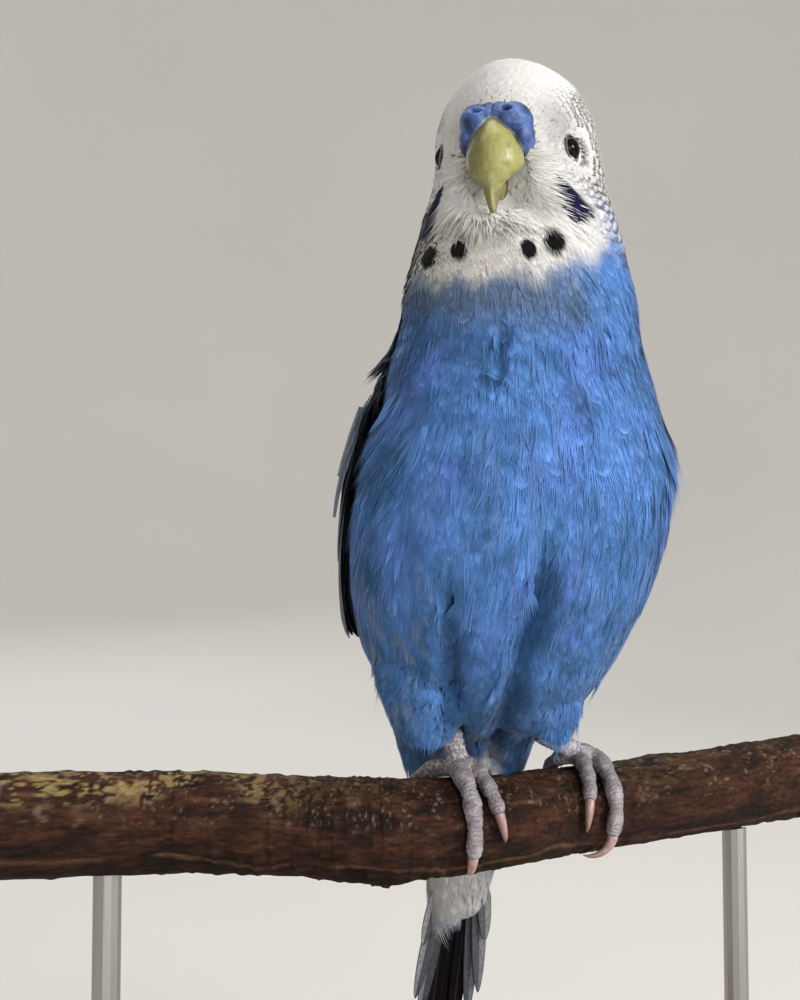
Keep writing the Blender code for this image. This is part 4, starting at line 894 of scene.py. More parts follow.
plumageKinds = {
    "body": {
        "standOff": 0.75, "flow": coatFlow, "turnJitter": 6.0, "barbs": 15,
        "rows": (0.0, 0.45, 0.78, 1.0), "barbJitter": 0.07,
        "riseBend": 0.40, "barbLift": 0.012, "camber": 0.02, "bulge": 0.05, "roughen": 0.02, "colour": plainColour,
        "feather": 0.045, "barb": 0.03, "rootPaintedShade": 0.95, "tipTone": 0.06,
    },
    "breast": {
        "standOff": 0.8, "flow": coatFlow, "turnJitter": 5.0, "barbs": 27, "rows": (0.0, 0.4, 0.7, 0.9, 0.965, 1.0), "barbJitter": 0.022,
        "riseBend": 0.5, "barbLift": 0.008, "camber": 0.03, "bulge": 0.05, "roughen": 0.015, "colour": edgedColour,
        "feather": 0.05, "barb": 0.025, "rootPaintedShade": 0.95, "tipTone": 0.0, "vane": 0.42,
    },
    "face": {
        "standOff": 0.55, "flow": coatFlow, "turnJitter": 8.0, "barbs": 9, "rows": (0.0, 0.4, 0.75, 1.0), "barbJitter": 0.12,
        "riseBend": 0.40, "barbLift": 0.02, "camber": 0.02, "bulge": 0.06, "roughen": 0.03, "colour": plainColour,
        "feather": 0.015, "barb": 0.02, "rootPaintedShade": 0.96, "tipTone": 0.01,
    },
    "barred": {
        "standOff": 0.5, "flow": coatFlow, "turnJitter": 4.0, "barbs": 7, "rows": (0.0, 0.42, 0.62, 0.7, 0.78, 0.87, 1.0),
        "barbJitter": 0.015, "riseBend": 0.5, "barbLift": 0.015, "camber": 0.05, "bulge": 0.3, "roughen": 0.03,
        "colour": barredColour, "feather": 0.03, "barb": 0.03, "rootPaintedShade": 0.94, "tipTone": 0.02,
    },
    "mantle": {
        "standOff": 9.0, "flow": coatFlow, "turnJitter": 5.0, "barbs": 11, "rows": (0.0, 0.42, 0.62, 0.7, 0.78, 0.87, 1.0),
        "barbJitter": 0.03, "riseBend": 0.8, "barbLift": 0.015, "camber": 0.08, "bulge": 0.3, "roughen": 0.03,
        "colour": barredColour, "feather": 0.03, "barb": 0.03, "rootPaintedShade": 0.94, "tipTone": 0.02,
    },
    "flank": {
        "standOff": 2.5, "flow": flankFlow, "turnJitter": 5.0, "barbs": 11, "rows": (0.0, 0.3, 0.6, 0.85, 1.0), "barbJitter": 0.12,
        "riseBend": 0.6, "barbLift": 0.10, "camber": 0.02, "bulge": 0.2, "roughen": 0.05, "colour": plainColour,
        "feather": 0.06, "barb": 0.10, "rootPaintedShade": 0.85, "tipTone": 0.10,
    },
    "tuft": {
        "standOff": 3.5, "flow": hangingFlow, "turnJitter": 6.0, "barbs": 11, "rows": (0.0, 0.4, 0.75, 1.0), "barbJitter": 0.12,
        "riseBend": 0.6, "barbLift": 0.05, "camber": 0.02, "bulge": 0.1, "roughen": 0.03, "colour": plainColour,
        "feather": 0.07, "barb": 0.05, "rootPaintedShade": 0.95, "tipTone": 0.08, "bend": 0.35,
    },
    "wisp": {
        "standOff": 0.5, "flow": coatFlow, "turnJitter": 6.0, "barbs": 5, "rows": (0.0, 0.35, 0.7, 1.0), "barbJitter": 0.25,
        "riseBend": 0.5, "barbLift": 0.05, "camber": 0.0, "bulge": 0.1, "roughen": 0.05, "colour": plainColour,
        "feather": 0.05, "barb": 0.08, "rootPaintedShade": 0.97, "tipTone": 0.05, "vane": 0.12,
    },
    "mark": {
        "standOff": 9.0, "flow": coatFlow, "turnJitter": 0.0, "barbs": 17, "rows": (0.0, 0.2, 0.32, 0.42, 0.55, 0.7, 0.82, 0.91, 1.0),
        "barbJitter": 0.015, "riseBend": 0.35, "barbLift": 0.01, "camber": 0.02, "bulge": 0.2, "roughen": 0.02,
        "colour": plainColour, "feather": 0.02, "barb": 0.03, "rootPaintedShade": 1.0, "tipTone": 0.0, "vane": 0.44,
    },
}

def clearOfFace(roots, length, kind):
    # no feather grows on the cere, under the bill's root or over an eye; shorter ones stop at the lids
    place, angle = roots[:, 0], roots[:, 1]
    surface, normal = readGrid("point", place, angle), readGrid("normal", place, angle)
    sideways, forward, up = toHead(surface)
    keep = ~((forward > 6) & (np.hypot(sideways / 4.7, (up + 0.6) / 5.0) < 1.0))
    along = kind["flow"](surface, unit(normal), place, angle)
    for side in (-1, 1):
        centre, direction = eyeCentre(side)
        away = centre - surface
        away = away - (away @ direction)[:, None] * direction
        near = np.linalg.norm(surface - centre, axis=1) < 7.0
        distance = np.linalg.norm(away, axis=1)
        keep &= ~(near & (distance < eyes["clear"]))
        ahead = (away * along).sum(1)
        passing = np.sqrt(np.maximum(distance**2 - ahead**2, 0))
        blocked = near & (ahead > 0) & (passing < eyes["clear"])
        reach = ahead - np.sqrt(np.maximum(eyes["clear"] ** 2 - passing**2, 0)) + 0.15
        length = np.where(blocked, np.minimum(length, np.maximum(reach, 0.5)), length)
    return keep, length


def aimedAt(targets):
    # a flow that takes each feather towards a point of its own
    def flow(points, normals, place, angle):
        way = targets - points
        return unit(way - normals * (way * normals).sum(-1, keepdims=True))
    return flow


def layMarks(name, material, starts, ends, widths, colour, jitter, draw):
    # dark marked feathers laid over the others, each from a start to an end on the coat
    starts, ends = np.array(starts, float), np.array(ends, float)
    targets = readGrid("point", ends[:, 0], ends[:, 1])
    length = np.linalg.norm(targets - readGrid("point", starts[:, 0], starts[:, 1]), axis=1)
    kind = dict(plumageKinds["mark"], flow=aimedAt(targets), colour=colour, barbJitter=jitter)
    depth = coatDepth(starts[:, 0], starts[:, 1]) * 0.2
    grown = growFeathers(starts, length, np.array(widths), depth, 0.5 + 0 * depth, kind, draw)
    return addCoat(name, grown, material)


def makeMarks(material, draw):
    starts, ends, widths = [], [], []
    for place, angle, halfWidth, halfHeight in markings["spots"]:
        step = np.linalg.norm(readGrid("byPlace", np.array(place), np.array(angle)))
        starts.append((place + (halfHeight + 0.9) / step, angle))
        ends.append((place - (halfHeight + 0.25) / step, angle))
        widths.append(2.15 * halfWidth)
    total = layMarks("throatSpots", material, starts, ends, widths, plainColour, 0.02, draw)
    starts, ends, widths = [], [], []
    for (topPlace, topAngle), (lowPlace, lowAngle), halfWidth in markings["patches"]:
        for _ in range(3):
            reach = draw.uniform(0.85, 1.18)
            shiftPlace, shiftAngle = draw.uniform(-0.06, 0.06), draw.uniform(-1.2, 1.2)
            starts.append((mix(lowPlace, topPlace, 1.3) + shiftPlace, mix(lowAngle, topAngle, 1.3) + shiftAngle))
            ends.append((mix(topPlace, lowPlace, reach) + shiftPlace, mix(topAngle, lowAngle, reach) + shiftAngle))
            widths.append((2.9 if lowAngle > 0 else 2.5) * halfWidth)

    def violet(points, place, angle, t, rootPlace, rootAngle):
        sheen = 1 + 1.1 * (1 - t) + 0.8 * cloud(points, 0.5, 3.0)
        return np.array(markings["patch"]) * sheen[..., None]

    return total + layMarks("cheekPatches", material, starts, ends, widths, violet, 0.07, draw)


def spacedOut(points, gap):
    # the indices of points that keep a gap from those kept before them
    kept = []
    for k, point in enumerate(points):
        if not kept or np.min(np.linalg.norm(points[kept] - point, axis=1)) > gap:
            kept.append(k)
    return np.array(kept)


def makeEyeFringe(material, draw):
    # tiny feathers round each eye that point away from the lids
    total = 0
    for name, side in (("left", 1), ("right", -1)):
        centre, direction = eyeCentre(side)
        place, angle = draw.uniform(14.6, 17.6, 5000), side * draw.uniform(30, 120, 5000)
        surface = readGrid("point", place, angle)
        away = surface - centre
        away = away - (away @ direction)[:, None] * direction
        distance = np.linalg.norm(away, axis=1)
        near = (np.linalg.norm(surface - centre, axis=1) < 6.0) & (distance > 1.95) & (distance < 4.0)
        chosen = np.flatnonzero(near)
        chosen = chosen[spacedOut(surface[chosen], 0.34)]
        roots, distance, away = np.stack([place, angle], -1)[chosen], distance[chosen], unit(away[chosen])

        def flow(points, normals, place, angle):
            share = (0.85 * ramp(distance, 2.5, 4.0))[:, None]
            way = away * (1 - share) + coatFlow(points, normals, place, angle) * share
            return unit(way - normals * (way * normals).sum(-1, keepdims=True))

        def lidSkinAndShade(points, place, angle, t, rootPlace, rootAngle):
            colour = plainColour(points, place, angle, t, rootPlace, rootAngle)
            # darker near the lids: the grey skin round the eye, with painted shade in the eye's hollow
            return colour * mix(0.42, 1.0, ramp(distance, 2.0, 3.1))[:, None, None, None]

        length = 0.85 + 0.4 * (distance - 1.95)
        kind = dict(plumageKinds["face"], flow=flow, colour=lidSkinAndShade)
        grown = growFeathers(roots, length, 0.6 * length, 0.22 + 0 * length, 0.08 + 0 * length, kind, draw)
        total += addCoat("eyeFringe_" + name, grown, material)
    return total


def beardFlow(points, normals, place, angle):
    # outwards from the gape and down over the throat
    way = 0.9 * unit(points - onHead(-0.5, 8.5, -3.0)) + 0.55 * unit(-readGrid("byPlace", place, angle))
    return unit(way - normals * (way * normals).sum(-1, keepdims=True))


def makeBeard(material, draw):
    # soft plumes beside and under the bill
    place, angle = draw.uniform(13.9, 15.6, 1800), draw.uniform(-30.0, 30.0, 1800)
    surface = readGrid("point", place, angle)
    sideways, forward, up = toHead(surface)
    away = np.hypot(sideways / 4.2, (up + 4.2) / 4.6)
    keep = (away > 0.95) & (away < 2.0) & (up < -1.5)
    roots, away, up = np.stack([place, angle], -1)[keep], away[keep], up[keep]
    length = mix(2.4, 4.2, ramp(-up, 2.5, 6.5)) * (1 - 0.35 * ramp(-up, 9.0, 12.0)) * (1 + 0.18 * draw.standard_normal(len(roots)))
    lift = 0.18 + 0.6 * ramp(-away, -1.5, -0.95) + 0.10 * draw.random(len(roots))
    kind = dict(plumageKinds["wisp"], flow=beardFlow, barbs=7, barbLift=0.06, riseBend=0.7, turnJitter=9.0, standOff=1.2)
    grown = growFeathers(roots, length, 0.34 * length, 0.4 * coatDepth(roots[:, 0], roots[:, 1]), lift, kind, draw)
    return addCoat("plumageBeard", grown, material)


def dressed(name, kindName, material, roots, length, width, lift, depthShare, draw):
    # trims, grows and adds one crowd of feathers
    kind = plumageKinds[kindName]
    if kindName in ("face", "barred"):
        keep, length = clearOfFace(roots, length, kind)
        if kindName == "barred":
            keep &= awayFromEyes(roots) > 3.3
        roots, length = roots[keep], length[keep]
    depth = coatDepth(roots[:, 0], roots[:, 1]) * depthShare
    grown = growFeathers(roots, length, length * width, depth, lift + 0 * depth, kind, draw)
    return addCoat(name, grown, material)


def lowEndShare(roots):
    # 1 where the coat turns under, at the lower ends of the thighs and belly
    return ramp(-readGrid("normal", roots[:, 0], roots[:, 1])[:, 2], 0.15, 0.75)


def farFromPartings(roots):
    # true for roots whose feathers don't bridge a parting of the coat
    points = readGrid("point", roots[:, 0], roots[:, 1])
    down = unit(-readGrid("byPlace", roots[:, 0], roots[:, 1]))
    return np.maximum(partingShade(points), partingShade(points + 5.0 * down)) < 0.2


def makeCoat():
    material = plumageMaterial()
    draw = np.random.default_rng(23)
    roots = scatterRoots((13.2, 20.6), (0.0, 360.0), lambda p: 0.52, lambda p: 0.55, 0.9, draw)
    roots = roots[(barShare(roots[:, 0], roots[:, 1]) < 0.35) | (awayFromEyes(roots) < 4.0)]
    side = np.abs(signedAngle(roots[:, 1]))
    sideways, forward, up = toHead(readGrid("point", roots[:, 0], roots[:, 1]))
    nearBill = np.exp(-((np.hypot(sideways / 7.5, up / 8.0)) ** 3)) * (forward > 5)
    length = 2.7 - 0.5 * ramp(-side, -80.0, -30.0) * ramp(roots[:, 0], 14.5, 16.0) - 0.6 * ramp(roots[:, 0], 19.3, 20.6)
    length = length + 0.9 * ramp(-roots[:, 0], -14.6, -13.4)
    length = length * (1 - 0.42 * nearBill) * (1 + 0.14 * draw.standard_normal(len(roots)))
    total = dressed("plumageFace", "face", material, roots, length, 0.55, 0.16, 0.9, draw)

    roots = scatterRoots((7.6, 20.6), (0.0, 360.0), lambda p: mix(2.3, 0.95, float(ramp(p, 11, 16))),
                         lambda p: mix(2.2, 1.15, float(ramp(p, 11, 16))), 0.45, draw)
    roots = roots[barShare(roots[:, 0], roots[:, 1]) >= 0.04]
    length = mix(5.8, 2.4, ramp(roots[:, 0], 11.0, 15.5)) * (1 + 0.06 * draw.standard_normal(len(roots)))
    total += dressed("plumageNape", "barred", material, roots, length, 0.62, 0.28, 0.6, draw)

    # the mantle lies over the wings' inner edges
    roots = np.stack([draw.uniform(8.7, 11.6, 1500), 180 + draw.uniform(-78.0, 78.0, 1500)], -1)
    wide = ramp(np.abs(180 - roots[:, 1]), 10.0, 32.0)
    keep = (roots[:, 0] > 9.9) | (np.abs(180 - roots[:, 1]) < 24.0)
    roots, wide = roots[keep], wide[keep]
    order = np.argsort(-roots[:, 0])
    roots, wide = roots[order], wide[order]
    kept = spacedOut(readGrid("point", roots[:, 0], roots[:, 1]), 1.7)
    roots, wide = roots[kept], wide[kept]
    over = np.interp(roots[:, 0] - 0.6, [9.2, 9.5, 9.8, 10.1, 10.5, 11.0], [4.6, 4.4, 3.7, 2.6, 1.3, 0.5])
    lift = mix(0.6, over, wide)
    length = mix(5.4, 6.4, wide) * (1 + 0.07 * draw.standard_normal(len(roots)))
    total += dressed("plumageMantle", "mantle", material, roots, length, 0.6, lift, 0.0, draw)

    roots = scatterRoots((3.2, 13.6), (0.0, 360.0), lambda p: mix(1.1, 0.75, float(ramp(p, 10, 13.5))),
                         lambda p: mix(1.0, 0.75, float(ramp(p, 10, 13.5))), 0.95, draw)
    roots = roots[barShare(roots[:, 0], roots[:, 1]) < 0.6]
    length = mix(6.2, 3.6, ramp(roots[:, 0], 9.5, 13.5)) * (1 - 0.3 * ramp(-roots[:, 0], -5.0, -3.6))
    length = length * (1 - 0.4 * lowEndShare(roots)) * (1 + 0.16 * draw.standard_normal(len(roots)))
    total += dressed("plumageBody", "body", material, roots, length, 0.40, 0.12, 0.9, draw)

    roots = scatterRoots((0.05, 3.6), (0.0, 360.0), lambda p: 1.3, lambda p: 1.1, 0.9, draw)
    leftward = ramp(-signedAngle(roots[:, 1]), -15.0, 45.0)
    ends = ramp(-roots[:, 0], -1.6, -0.2)
    length = (5.0 + (4.5 * leftward - 1.8) * ends) * (1 + (0.12 + 0.16 * leftward) * draw.standard_normal(len(roots)))
    total += dressed("plumageRump", "body", material, roots, length, 0.34, 0.2, 0.9, draw)

    roots = scatterRoots((6.2, 12.4), (0.0, 360.0), lambda p: 4.2, lambda p: 4.0, 0.7, draw)
    roots = roots[(np.abs(signedAngle(roots[:, 1])) < 74.0) & (draw.random(len(roots)) < 0.6) & (roots[:, 0] > 7.6)]
    roots = roots[farFromPartings(roots)]
    length = mix(8.5, 6.5, ramp(roots[:, 0], 9.5, 12.0)) * (1 + 0.12 * draw.standard_normal(len(roots)))
    total += dressed("plumageBreast", "breast", material, roots, length, 0.8, 0.08, 0.8, draw)

    # tufts hang past the round lower ends of the thighs
    roots = np.stack([draw.uniform(4.0, 6.3, 2600), draw.uniform(-78.0, 48.0, 2600)], -1)
    share = lowEndShare(roots)
    roots, share = roots[farFromPartings(roots)], share[farFromPartings(roots)]
    middle = (roots[:, 1] > -24.0) & (roots[:, 1] < 9.0)
    roots = roots[(share > 0.02) & (share < 0.75) & ~(middle & (roots[:, 0] < 5.3))]
    roots = roots[spacedOut(readGrid("point", roots[:, 0], roots[:, 1]), 0.75)]
    length = 5.6 * (1 + 0.2 * draw.standard_normal(len(roots)))
    total += dressed("plumageThighs", "tuft", material, roots, length, 0.3, 0.3, 0.6, draw)

    roots = np.stack([draw.uniform(4.6, 13.0, 900), draw.uniform(-80.0, 80.0, 900)], -1)
    length = mix(7.0, 4.5, ramp(roots[:, 0], 9.5, 13.0)) * (1 - 0.6 * lowEndShare(roots))
    length = length * (1 + 0.2 * draw.standard_normal(len(roots)))
    total += dressed("plumageWisps", "wisp", material, roots, length, 0.11, 0.24, 0.3, draw)

    roots = np.concatenate([
        np.stack([draw.uniform(7.2, 10.3, 230), side * draw.uniform(50.0, 76.0, 230)], -1) for side in (-1, 1)
    ])
    length = mix(6.0, 9.5, ramp(roots[:, 0], 7.2, 8.6)) * (1 + 0.12 * draw.standard_normal(len(roots)))
    over = 0.35 + 0.5 * ramp(np.abs(roots[:, 1]), 60.0, 76.0)
    total += dressed("plumageFlank", "flank", material, roots, length, 0.2, over, 0.3, draw)
    total += makeMarks(material, draw)
    total += makeEyeFringe(material, draw)
    total += makeBeard(material, draw)
    print("coat", total, "triangles")


makeSkin()
print("skin ready")
makeCoat()


# The branch, its bark and its cut ends

branch = {
    # x, y, height above the perch's own level, radius
    "line": [
        (-69.9, -13.3, 1.4, 7.15), (-50.0, -10.6, 1.3, 7.1), (-36.0, -8.6, 1.1, 6.9), (-22.0, -9.0, 0.5, 6.75),
        (-13.5, -9.6, 0.1, 7.1), (-6.0, -8.6, -0.1, 6.9), (5.0, -4.0, -0.3, 6.6), (14.0, 2.2, -0.4, 6.5),
        (24.0, 8.4, -0.4, 6.5), (42.0, 18.2, -0.2, 6.6), (56.0, 26.4, 0.1, 6.75), (67.5, 33.2, 0.4, 6.9),
    ],
    "length": 147.0,
    "knots": [(0.23, 100.0, 5.5, 0.7), (0.415, 185.0, 4.2, 0.9), (0.80, 40.0, 5.0, 0.5)],
    "rings": 520,
    "sides": 168,
    "crack": [(0.0, 128.0), (0.12, 118.0), (0.24, 131.0), (0.36, 122.0), (0.5, 133.0), (0.63, 120.0), (0.8, 132.0), (1.0, 121.0)],
    "crackDepth": 0.35,
    "bark": (0.036, 0.0145, 0.0085),
    "barkRed": (0.062, 0.022, 0.012),
    "barkDark": (0.013, 0.0065, 0.0045),
    "barkPale": (0.11, 0.058, 0.034),
    "lichen": (0.25, 0.18, 0.075),
    "lichenGrey": (0.16, 0.125, 0.085),
    "wood": (0.56, 0.40, 0.235),
}


def branchAt(share):
    share = np.asarray(share, float)
    place = share * (len(branch["line"]) - 1)
    values = smoothRows(branch["line"], place)
    run = unit((smoothRows(branch["line"], place + 0.05) - smoothRows(branch["line"], place - 0.05))[..., :3])
    centre = values[..., :3] + np.array([0, 0, bird["perchHeight"]])
    return centre, run, values[..., 3]


shareTable = np.linspace(0.0, 1.0, 3001)
shareX = branchAt(shareTable)[0][:, 0]


def branchShare(x):
    return np.interp(x, shareX, shareTable)


def roundBranch(share, angle, distance):
    # angle 0 is on top of the branch and 90 in front
    centre, run, _ = branchAt(share)
    up = np.array([0.0, 0.0, 1.0])
    front = unit(np.cross(run, up))
    radians = np.radians(angle)
    way = up * np.cos(radians)[..., None] + front * np.sin(radians)[..., None]
    return centre + way * np.asarray(distance)[..., None]


def aboveBark(x, angle, out):
    share = branchShare(np.asarray(x, float))
    return roundBranch(share, np.asarray(angle, float), branchAt(share)[2] + out)


def makeBranch():
    share, angle = np.meshgrid(
        np.linspace(0.0, 1.0, branch["rings"] + 1), np.arange(branch["sides"]) * 360.0 / branch["sides"], indexing="ij"
    )
    centre, run, radius = branchAt(share)
    distance = radius * (1 + 0.02 * np.sin(np.radians(5 * angle + 220 * share)))
    for knotShare, knotAngle, width, height in branch["knots"]:
        along = (share - knotShare) * branch["length"] / width
        turn = np.radians(signedAngle(angle - knotAngle)) * radius / width
        away = np.hypot(along, turn)
        distance += height * np.exp(-(away**2)) + 0.18 * np.sin(away * 9) * np.exp(-(away**2) * 0.7)
    smooth = roundBranch(share, angle, distance)
    stretched = np.stack([share * branch["length"] * 0.32, np.cos(np.radians(angle)) * 7, np.sin(np.radians(angle)) * 7], -1)
    even = np.stack([share * branch["length"], np.cos(np.radians(angle)) * 7, np.sin(np.radians(angle)) * 7], -1)
    ridges = cloud(stretched, 1.3, 2.0) - 0.5
    fine = cloud(stretched, 0.5, 8.0) - 0.5
    lumps = cloud(even, 2.6, 5.0) - 0.5
    rings = np.maximum(0, cloud(np.stack([share * branch["length"], angle / 60, angle * 0], -1), 1.1, 3.0) - 0.62)
    relief = 0.34 * ridges + 0.13 * fine + 0.3 * lumps + 0.8 * rings - 0.12
    crackPlace = np.array(branch["crack"])
    crackAngle = np.interp(share, crackPlace[:, 0], crackPlace[:, 1]) + 7 * (cloud(even, 6.0, 1.0) - 0.5)
    away = np.abs(signedAngle(angle - crackAngle)) * np.pi / 180 * radius
    width = 0.10 + 0.22 * cloud(np.stack([share * 90, share * 0, share * 0], -1), 4.0)
    crack = np.exp(-((away / width) ** 2)) * ramp(cloud(even, 9.0, 4.0), 0.3, 0.5)
    relief = relief - branch["crackDepth"] * crack
    flat = np.minimum(share, 1 - share) * branch["length"]
    relief = relief * ramp(flat, 0.0, 1.0) - 0.5 * np.exp(-((flat / 0.6) ** 2))
    points = roundBranch(share, angle, distance + relief)
    upward = (points - centre)[..., 2] / radius
    tone = ramp(0.5 * ridges + 0.5 * fine + 0.5 * lumps, -0.22, 0.25)
    colour = mix(np.array(branch["barkDark"]), np.array(branch["bark"]), tone[..., None])
    colour = mix(colour, np.array(branch["barkRed"]), (0.45 * ramp(cloud(stretched, 2.2, 6.0), 0.35, 0.75) * (0.35 + 0.65 * ramp(upward, -0.6, 0.5)))[..., None])
    colour = mix(colour, np.array(branch["barkPale"]), (0.4 * ramp(ridges, 0.16, 0.38) * ramp(upward, -0.2, 0.6))[..., None])
    threads = cloud(np.stack([share * branch["length"] * 0.16, np.cos(np.radians(angle)) * 7, np.sin(np.radians(angle)) * 7], -1), 0.42, 3.0)
    colour = colour * (0.76 + 0.48 * ramp(threads, 0.25, 0.75))[..., None]
    x = smooth[..., 0]
    topSide = ramp(upward, 0.35, 0.8)
    speckle = ramp(cloud(even, 1.1, 9.0), 0.56, 0.66) + ramp(cloud(even, 0.5, 2.0), 0.62, 0.7)
    lichen = topSide * np.clip(speckle, 0, 1) * (0.12 + 0.88 * ramp(-x, 16, 34)) * ramp(cloud(even, 6.0, 7.0), 0.36, 0.56)
    colour = mix(colour, np.array(branch["lichen"]), (0.85 * lichen)[..., None])
    grey = ramp(cloud(even, 0.5, 5.5) * 0.7 + cloud(even, 1.7, 1.5) * 0.3, 0.68, 0.76) * ramp(upward, -0.1, 0.5)
    colour = mix(colour, np.array(branch["lichenGrey"]), (0.6 * grey)[..., None])
    pale = np.exp(-((away / (width * 1.5)) ** 2)) * ramp(cloud(even, 9.0, 4.0), 0.3, 0.5)
    colour = mix(colour, np.array(branch["barkPale"]) * 1.25, (0.75 * pale)[..., None])
    # painted shade: the bark darkens towards the branch's underside
    colour = colour * (1 - 0.45 * ramp(-upward, 0.1, 0.9))[..., None]
    points, colour = points.reshape(-1, 3), colour.reshape(-1, 3)
    rows, columns = share.shape
    faces = gridFaces(rows, columns, wrap=True)[:, ::-1]
    patches = np.stack([0.02 + 0.9 * share.ravel(), 0.02 + 0.55 * angle.ravel() / 360], axis=-1)
    allPoints, allColours, allPatches, allFaces = [points], [colour], [patches], [faces]
    # the cut ends: rings of growth under a bark edge
    for end, row in ((0, 0), (1, rows - 1)):
        edge = points[row * columns:(row + 1) * columns]
        middle = edge.mean(axis=0)
        levels = np.concatenate([[0.985, 0.93], np.linspace(0.88, 0.0, 24)])
        disc = middle + (edge - middle)[None] * levels[:, None, None]
        away = np.linalg.norm(disc - middle, axis=-1)
        rings = 0.5 + 0.5 * np.sin(away * 11 + 2.0 * cloud(disc, 2.5, 3.0))
        shade = (0.72 + 0.28 * rings) * (0.85 + 0.3 * cloud(disc, 1.0, 6.0))
        face = np.array(branch["wood"]) * shade[..., None]
        checks = np.exp(-((np.abs((np.degrees(np.arctan2(disc[..., 2] - middle[2], disc[..., 1] - middle[1])) % 72) - 36) / 2.5) ** 2))
        face = face * (1 - 0.6 * checks * ramp(away, 0.5, 5.0))[..., None]
        face[:2] = np.array(branch["barkDark"]) * 1.5
        start = sum(len(p) for p in allPoints)
        ring = np.concatenate([np.arange(row * columns, (row + 1) * columns), start + np.arange(disc[..., 0].size)])
        ring = ring.reshape(len(levels) + 1, columns)
        a, b = ring[:-1], np.roll(ring[:-1], -1, 1)
        c, d = np.roll(ring[1:], -1, 1), ring[1:]
        quads = np.stack([a, b, c, d], axis=-1).reshape(-1, 4)
        allFaces.append(quads if end else quads[:, ::-1])
        allPoints.append(disc.reshape(-1, 3))
        allColours.append(face.reshape(-1, 3))
        centre = np.array([0.12 + 0.3 * end, 0.8])
        spread = (disc - middle)[..., 1:] / 8.0 * 0.08
        allPatches.append((centre + spread).reshape(-1, 2))
    shader = Shader("bark", 0.85, Specular_IOR_Level=0.14)
    colour = shader.attribute("plumage").outputs["Color"]
    grain = shader.noise(1900.0, 4.0, 0.65, source=shader.stretch(0.35, 0.8, 1.0))
    shade = shader.range(grain, 0.3, 0.72, 0.62, 1.3)
    tint = shader.add("ShaderNodeCombineColor", {"Red": shade, "Green": shade, "Blue": shade}).outputs[0]
    rough = shader.range(grain, 0.3, 0.7, 0.95, 0.75)
    material = shader.finish(shader.blend(1.0, colour, tint, "MULTIPLY"), rough, shader.bump(grain, 0.00035))
    piece = makeMesh(
        "branch", np.concatenate(allPoints), np.concatenate(allFaces), material,
        {"plumage": np.concatenate(allColours)}, np.concatenate(allPatches),
    )
    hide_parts("perch")


# Feet: scaled toes and shank as one skin, with a horn claw at the end of each toe

feet = {
    "sides": {
        "right": (1.0, -1, 0.4, (0.0, -6.2, 95.6)),  # foot x, way out, twist, ankle
        "left": (20.2, 1, 2.2, (14.2, 2.4, 94.4)),
    },
    # side at root and tip, angle round the branch at root and tip, radius at root and tip
    "toes": {
        "inner_front": (1.3, 1.5, 14.0, 62.0, 1.35, 1.05),
        "outer_front": (-1.0, -1.9, 14.0, 102.0, 1.5, 1.1),
        "outer_back": (-1.6, -5.0, -12.0, -88.0, 1.4, 1.05),
        "inner_back": (1.6, 3.4, -12.0, -62.0, 1.25, 1.0),
    },
    "gap": 0.3,
    "toeEnd": 0.75,
    "palmRise": 1.75,
    "palmRadii": (2.6, 2.8, 1.75),
    "shankRadii": [1.5, 1.6, 1.5, 1.8],
    "clawRadius": 0.78,
    "clawBend": 3.3,
    "clawAside": {"left_outer_front": ((-0.05, 0.05, -1.0), (-1.0, -0.1, -0.1))},  # one claw hooks inwards along the branch
    "clawArc": 104.0,
    "clawTip": 0.14,
    "voxel": 0.16,
    "skin": (0.20, 0.18, 0.198),
    "skinDark": (0.070, 0.056, 0.064),
    "skinPale": (0.38, 0.365, 0.385),
    "skinPink": (0.30, 0.20, 0.20),
    "horn": (0.29, 0.175, 0.16),
    "hornDark": (0.10, 0.070, 0.060),
    "hornPale": (0.46, 0.36, 0.33),
}


def toeLine(footX, outward, twist, toe, steps):
    rootSide, tipSide, rootAngle, tipAngle, rootRadius, tipRadius = toe
    share = np.linspace(0.0, 1.0, steps + 1)
    radius = mix(rootRadius, tipRadius, share)
    x = footX - outward * (mix(rootSide, tipSide, share**0.8) + math.copysign(twist, tipAngle) * share)
    return aboveBark(x, mix(rootAngle, tipAngle, share), feet["gap"] + radius * 0.96), radius


def tubeGrid(line, radii, sides):
    # rings of points round a line, carried along without twist
    line = np.asarray(line, float)
    tangents = unit(np.gradient(line, axis=0))
    side = np.array(Vector(tangents[0]).orthogonal().normalized())
    turn = 2 * math.pi * np.arange(sides) / sides
    rings = []
    for point, tangent, radius in zip(line, tangents, radii):
        side = unit(side - tangent * (side @ tangent))
        up = np.cross(tangent, side)
        rings.append(point + (side * np.cos(turn)[:, None] + up * np.sin(turn)[:, None]) * radius)
    return np.array(rings)


def closedGrid(grid):
    # points and triangles of a tube or loft with both ends drawn to a point
    rows, columns = grid.shape[:2]
    points = np.concatenate([grid.reshape(-1, 3), grid[:1].mean(1), grid[-1:].mean(1)])
    quads = gridFaces(rows, columns, wrap=True)
    faces = np.concatenate([quads[:, [0, 1, 2]], quads[:, [0, 2, 3]]])
    around = np.arange(columns)
    start = np.stack([(around + 1) % columns, around, np.full(columns, rows * columns)], -1)
    last = (rows - 1) * columns
    end = np.stack([last + around, last + (around + 1) % columns, np.full(columns, rows * columns + 1)], -1)
    return points, np.concatenate([faces, start, end])


def ballGrid(centre, radii, axes=None, sides=32, rings=20):
    up = np.linspace(-math.pi / 2 + 0.05, math.pi / 2 - 0.05, rings)[:, None]
    turn = 2 * math.pi * np.arange(sides)[None, :] / sides
    shape = np.stack([np.cos(up) * np.cos(turn), np.cos(up) * np.sin(turn), np.sin(up) + 0 * turn], -1) * np.array(radii)
    if axes is not None:
        shape = shape @ np.array(axes).T
    return np.asarray(centre) + shape


